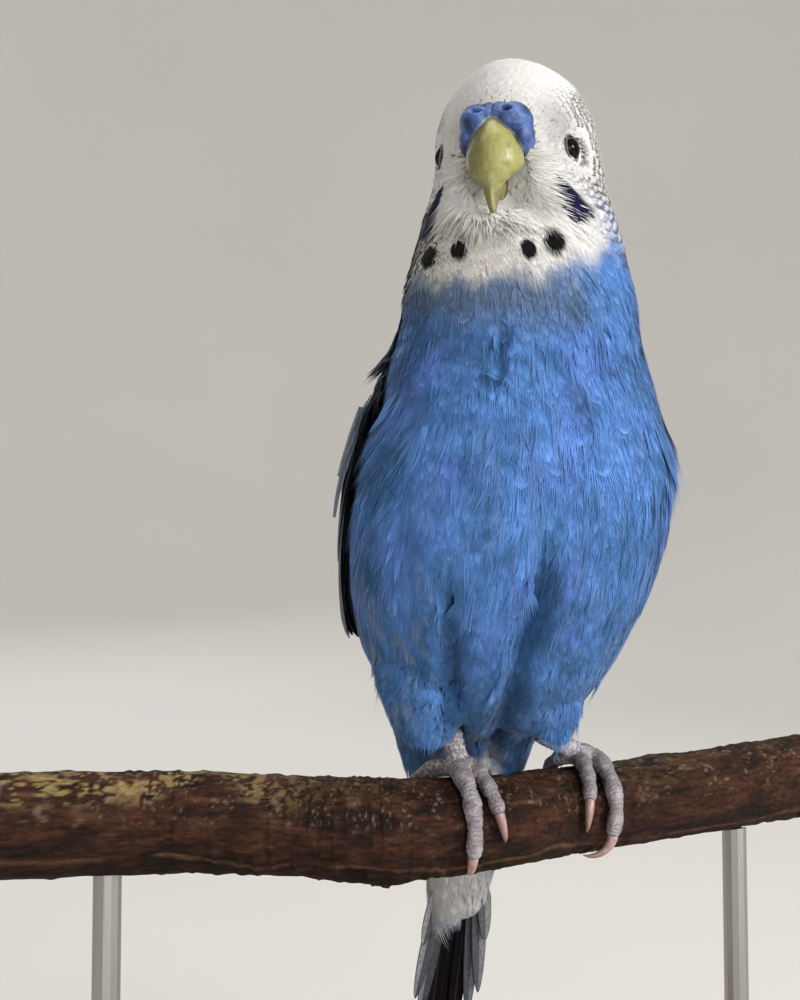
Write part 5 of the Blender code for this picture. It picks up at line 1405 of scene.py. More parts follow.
def fusedMesh(name, grids, voxel, smooth):
    # voxel remesh of closed lumps into one skin, returned as points, normals and triangles
    points, faces, start = [], [], 0
    for grid in grids:
        somePoints, someFaces = closedGrid(grid)
        points.append(somePoints)
        faces.append(someFaces + start)
        start += len(somePoints)
    mesh = bpy.data.meshes.new(name)
    mesh.from_pydata(np.concatenate(points).tolist(), [], np.concatenate(faces).tolist())
    obj = bpy.data.objects.new(name, mesh)
    bpy.context.scene.collection.objects.link(obj)
    remesh = obj.modifiers.new("skin", "REMESH")
    remesh.mode = "VOXEL"
    remesh.voxel_size = voxel
    soften = obj.modifiers.new("soften", "SMOOTH")
    soften.factor = 0.5
    soften.iterations = smooth
    bpy.context.view_layer.update()
    graph = bpy.context.evaluated_depsgraph_get()
    result = bpy.data.meshes.new_from_object(obj.evaluated_get(graph))
    result.calc_loop_triangles()
    found = np.empty(len(result.vertices) * 3)
    result.vertices.foreach_get("co", found)
    normals = np.empty(len(result.vertices) * 3)
    result.vertices.foreach_get("normal", normals)
    corners = np.empty(len(result.loop_triangles) * 3, np.int32)
    result.loop_triangles.foreach_get("vertices", corners)
    bpy.data.objects.remove(obj)
    bpy.data.meshes.remove(mesh)
    bpy.data.meshes.remove(result)
    return found.reshape(-1, 3), normals.reshape(-1, 3), corners.reshape(-1, 3)


def boxPatches(points, normals):
    # a plain unwrap from six sides, one square of the picture for each
    low, high = points.min(0), points.max(0)
    size = (high - low).max()
    p = (points - low) / size
    axis = np.abs(normals).argmax(1)
    sign = (np.take_along_axis(normals, axis[:, None], 1)[:, 0] > 0).astype(int)
    pair = np.array([[1, 2], [0, 2], [0, 1]])[axis]
    flat = np.take_along_axis(p, pair, 1)
    cell = np.stack([axis, sign], -1)
    return (cell + 0.04 + 0.92 * flat) * np.array([1 / 3, 1 / 2])


def nearestOnLine(points, line):
    # for each point the closest distance to a line, the length run along it and the way round from its outer side
    best = np.full(len(points), 1e9)
    run = np.zeros(len(points))
    foot = np.zeros((len(points), 3))
    lengths = np.concatenate([[0.0], np.cumsum(np.linalg.norm(np.diff(line, axis=0), axis=1))])
    for k in range(len(line) - 1):
        step = line[k + 1] - line[k]
        t = np.clip((points - line[k]) @ step / (step @ step), 0, 1)
        spot = line[k] + t[:, None] * step
        away = np.linalg.norm(points - spot, axis=1)
        closer = away < best
        best = np.where(closer, away, best)
        run = np.where(closer, lengths[k] + t * (lengths[k + 1] - lengths[k]), run)
        foot = np.where(closer[:, None], spot, foot)
    return best, run, foot


def makeFoot(sideName, material):
    footX, outward, twist, ankle = feet["sides"][sideName]
    ankle = np.array(ankle)
    palm = aboveBark(footX, 0.0, feet["palmRise"])
    middle = (ankle + palm) / 2
    shank = np.array([ankle + (ankle - middle) * 0.3, ankle, middle, palm])
    place = np.linspace(0, 3, 20)
    grids = [tubeGrid(smoothRows(shank, place), smoothRows([[r] for r in feet["shankRadii"]], place)[:, 0] * 0.97, 24)]
    lines = [(shank, 1.6)]
    grids.append(ballGrid(palm, feet["palmRadii"], None, 24, 16))
    claws = []
    for toeName, toe in feet["toes"].items():
        line, radii = toeLine(footX, outward, twist, toe, 24)
        inner = palm + (line[0] - palm) * 0.3
        run = unit(line[-1] - line[-2])
        along = np.linspace(0, 1, 25)
        pads = 1 + 0.10 * np.sin(along * math.pi * 2 * 2.5 - 0.6) * ramp(along, 0.05, 0.2)
        whole = np.concatenate([[inner], line, [line[-1] + run * feet["toeEnd"] * 0.6, line[-1] + run * feet["toeEnd"]]])
        wholeRadii = 0.94 * np.concatenate([[radii[0]], radii * pads, [radii[-1] * 0.95, radii[-1] * 0.72]])
        grids.append(tubeGrid(whole, wholeRadii, 24))
        lines.append((whole, radii[0]))
        wood = branchAt(branchShare(line[-1][0]))[0]
        start = line[-1] + run * (feet["toeEnd"] + 0.05)
        if sideName + "_" + toeName in feet["clawAside"]:
            newRun, inward = feet["clawAside"][sideName + "_" + toeName]
            run, wood = unit(run * 0.4 + np.array(newRun)), start + 9.0 * np.array(inward)
        claws.append((toeName, start, run, wood))
    points, normals, faces = fusedMesh("foot", grids, feet["voxel"], 3)
    # scales: broad plates across the upper side, small round ones below
    reach = np.stack([nearestOnLine(points, line)[0] / radius for line, radius in lines], -1)
    which = reach.argmin(1)
    height = np.zeros(len(points))
    seam = np.zeros(len(points))
    for k, (line, radius) in enumerate(lines):
        own = which == k
        away, run, foot = nearestOnLine(points[own], line)
        wood = branchAt(branchShare(foot[:, 0]))[0]
        upperWay = unit(foot - wood) if k else np.tile(np.array([0.0, -1.0, 0.0]), (own.sum(), 1))
        upper = (normals[own] * upperWay).sum(1)
        pitch = 0.62 if k else 0.75
        spots = points[own]
        wave = (run / pitch + 1.6 * (cloud(spots, 0.9, 6.0) - 0.5) + 0.35 * np.abs(upper)) % 1.0
        plate = np.minimum(wave / 0.22, 1.0) * np.minimum((1 - wave) / 0.08, 1.0)
        top = ramp(upper, 0.35, 0.7)
        beads = cloud(points[own], 0.34, 3.0)
        flakes = ramp(cloud(spots, 0.28, 1.0), 0.5, 0.62)
        height[own] = top * (0.07 * plate + 0.045 * flakes) + (1 - top) * 0.11 * ramp(beads, 0.35, 0.65)
        seam[own] = top * (1 - plate) + (1 - top) * (1 - ramp(beads, 0.3, 0.6))
    points = points + normals * (height - 0.07)[:, None]
    tone = cloud(points, 1.2, 4.0)
    colour = mix(np.array(feet["skin"]), np.array(feet["skinPale"]), (0.6 * ramp(tone, 0.45, 0.75))[:, None])
    colour = mix(colour, np.array(feet["skinDark"]), (0.85 * ramp(seam, 0.25, 0.95))[:, None])
    colour = mix(colour, np.array(feet["skinPink"]), (0.22 * ramp(cloud(points, 2.2, 8.0), 0.5, 0.7))[:, None])
    dust = ramp(cloud(points, 0.28, 1.0), 0.56, 0.68) * ramp(-nearestOnLine(points, lines[0][0])[0], -3.4, -1.2)
    colour = mix(colour, np.array([0.62, 0.61, 0.62]), (0.5 * dust)[:, None])
    foot = makeMesh(
        "foot_" + sideName, points, faces, material["foot"], {"plumage": colour}, boxPatches(points, normals)
    )
    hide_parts("leg_" + sideName)
    for toeName, start, run, wood in claws:
        makeClaw("horn_" + sideName + "_" + toeName, start, run, wood, material["claw"], "claw_" + sideName + "_" + toeName)


def makeClaw(name, start, run, towards, material, node):
    inward = unit(towards - start)
    inward = unit(inward - run * (inward @ run))
    share = np.linspace(0.0, 1.0, 34)
    angle = np.radians(feet["clawArc"]) * share
    line = start + (np.sin(angle)[:, None] * run + (1 - np.cos(angle))[:, None] * inward) * feet["clawBend"]
    radii = feet["clawRadius"] * (1 - share) ** 0.7 + feet["clawTip"] * (1 - 0.8 * share)
    radii[0] *= 0.9
    grid = tubeGrid(line, radii, 22)
    across = unit(np.cross(run, inward))
    centre = line[:, None, :]
    squeeze = ((grid - centre) @ across)[..., None] * across
    below = np.maximum(0, ((grid - centre) * unit(towards - line)[:, None, :]).sum(-1))
    grid = grid - 0.18 * squeeze - 0.25 * below[..., None] * unit(towards - line)[:, None, :]
    points, faces = closedGrid(grid)
    along = np.concatenate([np.repeat(share, 22), [0.0, 1.0]])
    stripes = cloud(points * np.array([1, 1, 1]), 0.5, 2.0)
    colour = mix(np.array(feet["horn"]), np.array(feet["hornPale"]), (0.5 * ramp(stripes, 0.4, 0.7) * (1 - along))[:, None])
    colour = mix(colour, np.array(feet["hornDark"]), (0.75 * ramp(along, 0.3, 1.0))[:, None])
    patches = np.concatenate([
        np.stack(np.meshgrid(np.arange(22) / 22, 0.02 + 0.96 * share), -1).reshape(-1, 2), [[0.5, 0.0], [0.5, 1.0]]
    ])
    piece = makeMesh(name, points, faces, material, {"plumage": colour}, patches)
    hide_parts(node)


def makeFeet():
    shader = Shader("footSkin", 0.55, Specular_IOR_Level=0.4, Subsurface_Weight=0.12, Subsurface_Scale=0.0006)
    colour = shader.attribute("plumage").outputs["Color"]
    fine = shader.cells(3200.0)
    shader.finish(colour, shader.range(fine, 0.1, 0.6, 0.62, 0.45), shader.bump(fine, 0.00006))
    horn = Shader("clawHorn", 0.32, Specular_IOR_Level=0.5, Subsurface_Weight=0.1, Subsurface_Scale=0.0005)
    colour = horn.attribute("plumage").outputs["Color"]
    streak = horn.noise(2500.0, 2.0)
    horn.finish(colour, horn.range(streak, 0.3, 0.7, 0.4, 0.25), horn.bump(streak, 0.00004))
    for sideName in feet["sides"]:
        makeFoot(sideName, {"foot": shader.material, "claw": horn.material})


makeBranch()
print("branch ready")
makeFeet()
print("feet ready")


# Wings: vanes in tiers over the folded arm, each a thin closed blade with a shaft and pale edges

wings = {
    "thickness": 0.16,
    "shift": {"left": 12.0, "right": 0.0},
    "backEdge": 178.0,
    "lengthVariation": 0.04,
    "widthVariation": 0.06,
    "seed": 31,
    # node: tiers from the lowest up. Each tier: count, root and tip (place, angle) from the front feather to the
    # inner one, half width, level at root and tip above the body, bow, tilt, where the tip starts to round
    "tiers": {
        "primaries": [
            {"count": 8, "root": ((8.0, 98.0), (7.3, 116.0)), "tip": ((-0.9, 169.5), (2.9, 163.0)), "half": (2.0, 2.6),
             "rootLevel": (0.85, 0.85), "tipLevel": (0.8, 1.35), "bow": (9.0, 2.0), "tilt": 0.06, "blunt": 0.72, "edge": "flight"},
        ],
        "secondaries": [
            {"count": 10, "root": ((8.3, 92.0), (8.7, 164.0)), "tip": ((5.55, 104.0), (4.3, 175.0)), "half": (3.1, 3.6),
             "rootLevel": (1.7, 2.35), "tipLevel": (2.1, 2.65), "bow": (4.0, 0.0), "tilt": 0.09, "blunt": 0.74, "edge": "flight"},
        ],
        "coverts": [
            {"count": 11, "root": ((8.8, 90.0), (8.9, 163.0)), "tip": ((6.95, 95.0), (6.55, 171.0)), "half": (2.9, 3.2),
             "rootLevel": (2.1, 2.6), "tipLevel": (2.3, 3.0), "bow": 0.0, "tilt": 0.10, "blunt": 0.62, "edge": "covert"},
            {"count": 12, "root": ((9.3, 88.0), (9.3, 162.0)), "tip": ((7.7, 90.0), (7.7, 169.0)), "half": (2.5, 2.6),
             "rootLevel": (2.6, 3.5), "tipLevel": (2.8, 3.75), "bow": 0.0, "tilt": 0.10, "blunt": 0.5, "edge": "covert"},
            {"count": 13, "root": ((9.5, 88.0), (9.55, 160.0)), "tip": ((8.35, 90.0), (8.35, 166.0)), "half": (2.2, 2.3),
             "rootLevel": (2.8, 3.6), "tipLevel": (3.1, 4.15), "bow": 0.0, "tilt": 0.10, "blunt": 0.45, "edge": "covert"},
            {"count": 13, "root": ((9.75, 95.0), (9.8, 153.0)), "tip": ((8.8, 95.0), (8.8, 158.0)), "half": (2.0, 2.1),
             "rootLevel": (2.3, 2.9), "tipLevel": (3.5, 4.35), "bow": 0.0, "tilt": 0.10, "blunt": 0.4, "edge": "covert"},
            {"count": 13, "root": ((9.95, 101.0), (10.05, 151.0)), "tip": ((9.15, 101.0), (9.15, 156.0)), "half": (1.9, 2.0),
             "rootLevel": (1.5, 1.9), "tipLevel": (3.55, 4.3), "bow": 0.0, "tilt": 0.10, "blunt": 0.4, "edge": "covert"},
            {"count": 12, "root": ((10.2, 107.0), (10.3, 148.0)), "tip": ((9.5, 106.0), (9.5, 153.0)), "half": (1.8, 1.9),
             "rootLevel": (0.9, 0.9), "tipLevel": (3.1, 3.6), "bow": 0.0, "tilt": 0.10, "blunt": 0.4, "edge": "covert"},
        ],
    },
    "armPad": [(8.95, 2.7, 3.1), (9.2, 3.0, 3.55), (9.45, 1.4, 3.5), (9.7, 0.6, 3.0), (9.95, 0.5, 2.4), (10.2, 0.4, 1.5), (10.45, 0.3, 0.7)],
    "armAngles": (108.0, 157.0),
    "flight": (0.012, 0.013, 0.018),
    "flightPale": (0.52, 0.50, 0.40),
    "covert": (0.013, 0.013, 0.017),
    "covertPale": (0.60, 0.60, 0.60),
    "frontDark": (0.040, 0.050, 0.072),
    "frontPale": (0.15, 0.185, 0.26),
    "shaft": (0.03, 0.026, 0.026),
}


def flippedWay(way):
    x, y = turned(way[..., 0], way[..., 1], -bird["turn"])
    x, y = turned(-x, y, bird["turn"])
    return np.stack([x, y, way[..., 2]], axis=-1)


def vaneWidth(along, blunt):
    root = np.minimum(1.0, 0.5 + along * 2.6)
    tip = np.maximum(0.0, 1.0 - np.maximum(0.0, (along - blunt) / (1.0 - blunt)) ** 2.3)
    return root * (0.03 + 0.97 * np.sqrt(tip) * (0.35 + 0.65 * tip**0.3))


def pairAt(pair, share):
    if np.ndim(pair) == 0:
        return pair
    return mix(np.asarray(pair[0], float), np.asarray(pair[1], float), share)


def blade(upper, lower):
    # a closed sheet between two grids of points
    rows, columns = upper.shape[:2]
    points = np.concatenate([upper.reshape(-1, 3), lower.reshape(-1, 3)])
    below = rows * columns
    quads = gridFaces(rows, columns)
    border = list(range(columns)) + [i * columns + columns - 1 for i in range(1, rows)]
    border += [(rows - 1) * columns + j for j in range(columns - 2, -1, -1)] + [i * columns for i in range(rows - 2, 0, -1)]
    a = np.array(border)
    b = np.roll(a, -1)
    sides = np.stack([a, below + a, below + b, b], axis=-1)
    return points, np.concatenate([quads, below + quads[:, ::-1], sides])


def vaneRelief(across, along, rows):
    # a raised shaft with the two webs sagging a little from it
    shaft = np.exp(-((across / 0.09) ** 2)) * (1 - along) ** 0.4
    return 0.16 * shaft - 0.22 * across**2


def wingVane(tier, share, side, shift, draw):
    rows, columns = (26 if tier["edge"] == "flight" else 16), 11
    lengthShare = 1 - wings["lengthVariation"] * draw.random()
    widthShare = 1 - wings["widthVariation"] * draw.random()
    along = (1 - (1 - np.linspace(0, 1, rows + 1)) ** 1.35) * lengthShare
    across = np.linspace(-1, 1, columns)
    root, tip = pairAt(tier["root"], share), pairAt(tier["tip"], share)

    def placeAt(s):
        bow = pairAt(tier["bow"], share) * np.sin(math.pi * s)
        return mix(root[0], tip[0], s), mix(root[1], tip[1], s) - bow + shift * (1 - s)

    place, angle = placeAt(along)
    centre = bodySurface(place, angle)
    byPlace = (bodySurface(place + 0.02, angle) - bodySurface(place - 0.02, angle)) / 0.04
    byAngle = bodySurface(place, angle + 0.5) - bodySurface(place, angle - 0.5)
    out = unit(np.cross(byAngle, byPlace))
    run = unit(bodySurface(*placeAt(along + 0.01)) - centre)
    way = unit(np.cross(run, out))
    width = pairAt(tier["half"], share) * widthShare * vaneWidth(along / lengthShare, tier["blunt"])
    level = mix(pairAt(tier["rootLevel"], share), pairAt(tier["tipLevel"], share), along)
    a, b, c = (byPlace * byPlace).sum(-1), (byPlace * byAngle).sum(-1), (byAngle * byAngle).sum(-1)
    p, q = (byPlace * way).sum(-1), (byAngle * way).sum(-1)
    scale = a * c - b * b
    stepPlace, stepAngle = (p * c - q * b) / scale, (q * a - p * b) / scale
    offset = across[None, :] * width[:, None]
    ragged = 1 + 0.03 * draw.standard_normal(offset.shape[0])[:, None] * np.abs(across)[None, :] ** 3
    offset = offset * ragged
    turn = np.minimum(angle[:, None] + stepAngle[:, None] * offset, wings["backEdge"])
    surface = bodySurface(place[:, None] + stepPlace[:, None] * offset, turn * side)
    wayOut = out if side > 0 else flippedWay(out)
    height = level[:, None] - tier["tilt"] * offset + vaneRelief(across[None, :], along[:, None], rows)
    thin = wings["thickness"] * (0.35 + 0.65 * (1 - np.abs(across) ** 3))[None, :] + 0 * height
    lower = surface + wayOut[:, None, :] * height[..., None]
    upper = surface + wayOut[:, None, :] * (height + thin)[..., None]
    if side > 0:
        upper, lower = upper[:, ::-1], lower[:, ::-1]
        across = across[::-1]
    forward = ramp(-turn, -112.0, -97.0)
    if side > 0:
        forward = forward[:, ::-1]
    grid = np.stack(np.broadcast_arrays(across[None, :], (along / lengthShare)[:, None], forward), axis=-1)
    return upper, lower, grid, width


def feathersFromVanes(vanes, kind, columnsInPatch, cell, corner):
    # joins many blades, with colour by place on the vane and a patch of the picture for each
    points, faces, colours, patches, start = [], [], [], [], 0
    for number, (upper, lower, grid, width) in enumerate(vanes):
        somePoints, someFaces = blade(upper, lower)
        across, along = grid[..., 0].ravel(), grid[..., 1].ravel()
        forward = grid[..., 2].ravel()
        colour = kind(somePoints[: len(across)], across, along, np.repeat(width, grid.shape[1]), number, forward)
        points.append(somePoints)
        faces.append(someFaces + start)
        # painted shade: the underside of each blade is its top colour at 0.7
        colours.append(np.concatenate([colour, colour * 0.7]))
        spot = corner + np.array([number % columnsInPatch, number // columnsInPatch]) * cell
        patch = np.stack([spot[0] + (0.5 + 0.45 * across) * cell[0], spot[1] + (0.03 + 0.9 * along) * cell[1]], -1)
        patches.append(np.concatenate([patch, patch]))
        start += len(somePoints)
    return np.concatenate(points), np.concatenate(faces), np.concatenate(colours), np.concatenate(patches)


def barbTone(across, along, number):
    # fine slanting barbs from the shaft outwards
    slant = along * 46 - np.abs(across) * 3.2
    return 1 + 0.10 * np.sin(slant * 2.4 + number) + 0.06 * np.sin(slant * 5.3 + 2 * number)


def flightColour(points, across, along, width, number, forward):
    base = np.array(wings["flight"])
    pale = mix(np.array(wings["flightPale"]), np.array(wings["frontPale"]), forward[:, None])
    colour = np.tile(base, (len(points), 1)) * barbTone(across, along, number)[:, None]
    rim = ramp((1 - np.abs(across)) * width * -1, -0.42, -0.12)
    tip = ramp(along, 0.965, 0.995)
    share = np.maximum(0.75 * rim * ramp(along, 0.1, 0.4), 0.5 * tip)
    colour = mix(colour, pale, share[:, None])
    shaft = np.exp(-((across / 0.07) ** 2))
    return mix(colour, np.array(wings["shaft"]), (0.8 * shaft)[:, None])


def covertColour(points, across, along, width, number, forward):
    # black with pale edges, greyer and bluer at the wing's front edge
    base = mix(np.array(wings["covert"]), np.array(wings["frontDark"]), forward[:, None])
    pale = mix(np.array(wings["covertPale"]), np.array(wings["frontPale"]), forward[:, None])
    colour = base * barbTone(across, along, number)[:, None]
    rim = ramp((1 - np.abs(across)) * width * -1, -0.6, -0.25)
    tip = ramp(along + 0.06 * (cloud(points, 0.8, 3.0) - 0.5), 0.85, 0.92)
    share = np.maximum(0.85 * rim * ramp(along, 0.25, 0.5), 0.95 * tip)
    colour = mix(colour, pale, share[:, None])
    shaft = np.exp(-((across / 0.07) ** 2)) * (1 - tip)
    return mix(colour, np.array(wings["shaft"]), (0.8 * shaft)[:, None])


def vaneMaterial(name, gloss):
    shader = Shader(name, 0.5, Specular_IOR_Level=gloss, Sheen_Weight=0.02, Sheen_Roughness=0.4)
    colour = shader.attribute("plumage").outputs["Color"]
    barbs = shader.noise(2600.0, 2.0, 0.6, source=shader.stretch(1.0, 1.0, 0.25))
    shade = shader.range(barbs, 0.3, 0.7, 0.75, 1.2)
    tint = shader.add("ShaderNodeCombineColor", {"Red": shade, "Green": shade, "Blue": shade}).outputs[0]
    rough = shader.range(barbs, 0.3, 0.7, 0.6, 0.42)
    return shader.finish(shader.blend(1.0, colour, tint, "MULTIPLY"), rough, shader.bump(barbs, 0.00008))


def armGrid(side, shift):
    columns = 40
    rows = np.linspace(0, len(wings["armPad"]) - 1, 30)
    table = smoothRows(wings["armPad"], rows)
    share = np.linspace(0, 1, columns + 1)
    angle = mix(wings["armAngles"][0], wings["armAngles"][1], share)[None, :] + shift + 0 * rows[:, None]
    place = table[:, :1] + 0 * angle
    centre = bodySurface(place, angle)
    byPlace = (bodySurface(place + 0.02, angle) - bodySurface(place - 0.02, angle)) / 0.04
    byAngle = bodySurface(place, angle + 0.5) - bodySurface(place, angle - 0.5)
    out = unit(np.cross(byAngle, byPlace))
    wayOut = out if side > 0 else flippedWay(out)
    surface = bodySurface(place, angle * side)
    edge = np.minimum(1.0, np.minimum(share, 1 - share) * 6 / 1.5)[None, :]
    # the pad sinks under the mantle towards the back
    sink = mix(0.12, 1.0, ramp(-share, -1.0, -0.76))[None, :]
    low, high = table[:, 1:2] * sink, table[:, 2:3] * sink
    upper = surface + wayOut * mix(low, high, 0.35 + 0.65 * np.sqrt(edge))[..., None]
    lower = surface + wayOut * low[..., None]
    if side > 0:
        upper, lower = upper[:, ::-1], lower[:, ::-1]
    return upper, lower


def makeWing(sideName, material):
    side = 1 if sideName == "left" else -1
    shift = wings["shift"][sideName]
    draw = np.random.default_rng(wings["seed"] + side)
    for node, tiers in wings["tiers"].items():
        vanes = []
        for tier in tiers:
            for k in range(tier["count"]):
                vanes.append(wingVane(tier, k / (tier["count"] - 1), side, shift, draw))
        kind = covertColour if node == "coverts" else flightColour
        across = 13 if node == "coverts" else 5
        down = math.ceil((len(vanes) + 1) / across)
        points, faces, colours, patches = feathersFromVanes(
            vanes, kind, across, np.array([0.98 / across, 0.98 / down]), np.array([0.01, 0.01])
        )
        if node == "coverts":
            upper, lower = armGrid(side, shift)
            padPoints, padFaces = blade(upper, lower)
            faces = np.concatenate([faces, padFaces + len(points)])
            points = np.concatenate([points, padPoints])
            colours = np.concatenate([colours, np.tile(np.array(wings["covert"]), (len(padPoints), 1))])
            patches = np.concatenate([patches, np.full((len(padPoints), 2), 0.995)])
        piece = makeMesh("wingVanes_" + sideName + "_" + node, points, faces, material, {"plumage": colours}, patches)
        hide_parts("wing_" + sideName + "_" + node)


def makeWings():
    material = vaneMaterial("wingVane", 0.25)
    for sideName in wings["shift"]:
        makeWing(sideName, material)


# The tail: twelve long feathers in steps, the middle pair longest

tailFan = {
    # length, side at root and tip, half width, from the middle pair outwards
    "feathers": [
        (59.5, 0.6, 1.0, 2.0), (50.0, 1.2, 1.5, 1.6), (38.0, 1.8, 2.1, 1.4), (27.0, 2.6, 4.4, 1.3), (21.0, 3.2, 5.6, 1.3),
        (9.0, 3.8, 5.4, 1.2),
    ],
    "lean": 25.0,
    "root": (25.6, -17.9),
    "step": 0.42,
    "thickness": 0.22,
    "middle": (0.002, 0.002, 0.004),
    "outer": (0.12, 0.155, 0.21),
    "band": (0.30, 0.32, 0.34),
    "edge": (0.010, 0.013, 0.020),
}


def tailPoint(along, sideways, level):
    lean = math.radians(tailFan["lean"])
    y = tailFan["root"][0] + along * math.sin(lean) + level * math.cos(lean)
    z = tailFan["root"][1] - along * math.cos(lean) + level * math.sin(lean)
    return onBird(sideways, y, z)


def makeTail():
    material = vaneMaterial("tailVane", 0.1)
    vanes, ranks = [], []
    for k, (length, rootSide, tipSide, half) in enumerate(tailFan["feathers"]):
        for side in (-1, 1):
            level = 1.0 - tailFan["step"] * k - (tailFan["step"] / 2 if side < 0 else 0.0)
            along = 1 - (1 - np.linspace(0, 1, 35)) ** 1.2
            across = np.linspace(-1, 1, 11)
            width = half * vaneWidth(along, 0.55 if k == 0 else 0.36)
            reach = mix(-3.0, length, along)[:, None]
            sideways = side * mix(rootSide, tipSide, along)[:, None] + across[None, :] * width[:, None]
            height = level + vaneRelief(across[None, :], along[:, None], 0) * 0.6 + 0 * sideways
            upper = tailPoint(reach, sideways, height + tailFan["thickness"] / 2)
            lower = tailPoint(reach, sideways, height - tailFan["thickness"] / 2)
            grid = np.stack(np.broadcast_arrays(across[None, :], along[:, None], 0.0), -1)
            vanes.append((upper[:, ::-1], lower[:, ::-1], grid[:, ::-1], width))
            ranks.append(k)

    def colourOf(points, across, along, width, number, forward):
        rank = ranks[number]
        outer = ramp(across * (1 if number % 2 else -1), -0.25, 0.05)
        if rank < 3:
            colour = np.tile(np.array(tailFan["middle"]), (len(points), 1))
            colour = mix(colour, np.array((0.02, 0.05, 0.12)), (0.4 * ramp(-along, -0.35, 0.0))[:, None])
        else:
            pale = mix(np.array(tailFan["outer"]), np.array(tailFan["band"]), 0.3 * rank - 0.5)
            colour = mix(np.array(tailFan["edge"]), pale, (outer if rank < 3 else 0.35 + 0.65 * outer)[:, None])
            rim = ramp(np.abs(across), 0.80, 0.97)
            colour = mix(colour, np.array(tailFan["edge"]), (0.5 * rim + 0.3 * ramp(along, 0.93, 1.0))[:, None].clip(0, 1))
        colour = colour * barbTone(across, along, number)[:, None]
        shaft = np.exp(-((across / 0.07) ** 2))
        return mix(colour, np.array(wings["shaft"]), (0.8 * shaft)[:, None])

    points, faces, colours, patches = feathersFromVanes(vanes, colourOf, 6, np.array([0.16, 0.48]), np.array([0.01, 0.01]))
    block, blockFaces = closedGrid(ballGrid(tailPoint(1.0, 0.0, -0.3), (4.2, 1.7, 3.2), None, 32, 16))
    quads = np.concatenate([blockFaces, blockFaces[:, 2:]], axis=1) + len(points)
    faces = np.concatenate([faces, quads])
    points = np.concatenate([points, block])
    colours = np.concatenate([colours, np.tile(np.array([0.25, 0.27, 0.3]), (len(block), 1))])
    patches = np.concatenate([patches, np.full((len(block), 2), 0.992)])
    piece = makeMesh("tailVanes", points, faces, material, {"plumage": colours}, patches)
    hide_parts("tail")


makeWings()
print("wings ready")
makeTail()
print("tail ready")


# The bill, the cere over its root and the eyes

bill = {
    # forward, above the eyes, half width, half depth, slope of each section, root first
    "upper": [
        (9.8, 2.2, 1.2, 2.2, 30.0), (10.4, 1.1, 2.1, 3.1, 20.0), (10.9, -0.3, 3.0, 3.8, 10.0), (11.3, -1.8, 3.65, 4.1, 0.0),
        (11.6, -3.2, 3.85, 3.9, -8.0), (11.85, -4.4, 3.45, 3.4, -14.0), (12.1, -5.3, 2.5, 2.7, -19.0),
        (12.35, -6.2, 1.55, 2.0, -24.0), (12.6, -7.3, 1.2, 1.5, -28.0), (12.65, -8.6, 0.85, 1.0, -32.0),
        (12.4, -10.1, 0.4, 0.38, -36.0),
    ],
    "lower": [
        (7.0, -3.2, 1.5, 1.6, 0.0), (7.5, -4.6, 1.4, 1.8, -10.0), (7.9, -5.9, 1.15, 1.6, -20.0), (8.3, -7.0, 0.9, 1.1, -24.0),
        (8.5, -7.6, 0.5, 0.5, -24.0),
    ],
    "yellow": (0.29, 0.285, 0.10),
    "greenAndShade": (0.135, 0.13, 0.040),
    "tip": (0.17, 0.155, 0.060),
    "pale": (0.50, 0.48, 0.22),
    "dark": (0.05, 0.045, 0.03),
}

cere = {
    # sideways, forward, above the eyes, radii
    "lobes": [
        (0.0, 10.9, 3.0, (2.9, 3.0, 2.0)), (2.4, 10.9, 2.3, (2.6, 3.3, 2.5)), (-2.4, 10.9, 2.3, (2.6, 3.3, 2.5)),
        (3.8, 10.2, 0.2, (1.35, 2.7, 2.2)), (-3.8, 10.2, 0.2, (1.35, 2.7, 2.2)),
    ],
    "nostril": (2.1, 14.0, 3.0),
    "nostrilRadii": (0.62, 0.9, 0.27),
    "voxel": 0.12,
    "blue": (0.026, 0.056, 0.19),
    "blueLightAndHighlight": (0.075, 0.145, 0.36),
    "blueDarkAndShade": (0.008, 0.013, 0.042),
    "rim": (0.36, 0.36, 0.38),
}


def billGrid(sections, rings, sides):
    values = smoothRows(sections, np.linspace(0, len(sections) - 1, rings))
    turn = 2 * math.pi * np.arange(sides)[None, :] / sides
    forward, up, halfWidth, halfDepth, slope = [values[:, k:k + 1] for k in range(5)]
    halfWidth, halfDepth = np.maximum(halfWidth, 0.08), np.maximum(halfDepth, 0.08)
    slope = np.radians(slope)
    deep = halfDepth * np.cos(turn)
    # the culmen is a soft ridge and the cutting edge is drawn in
    ridge = 1 - 0.10 * np.exp(-((np.degrees(turn) - 180) / 40) ** 2)
    return onHead(halfWidth * np.sin(turn) * ridge, forward + deep * np.cos(slope), up + deep * np.sin(slope))


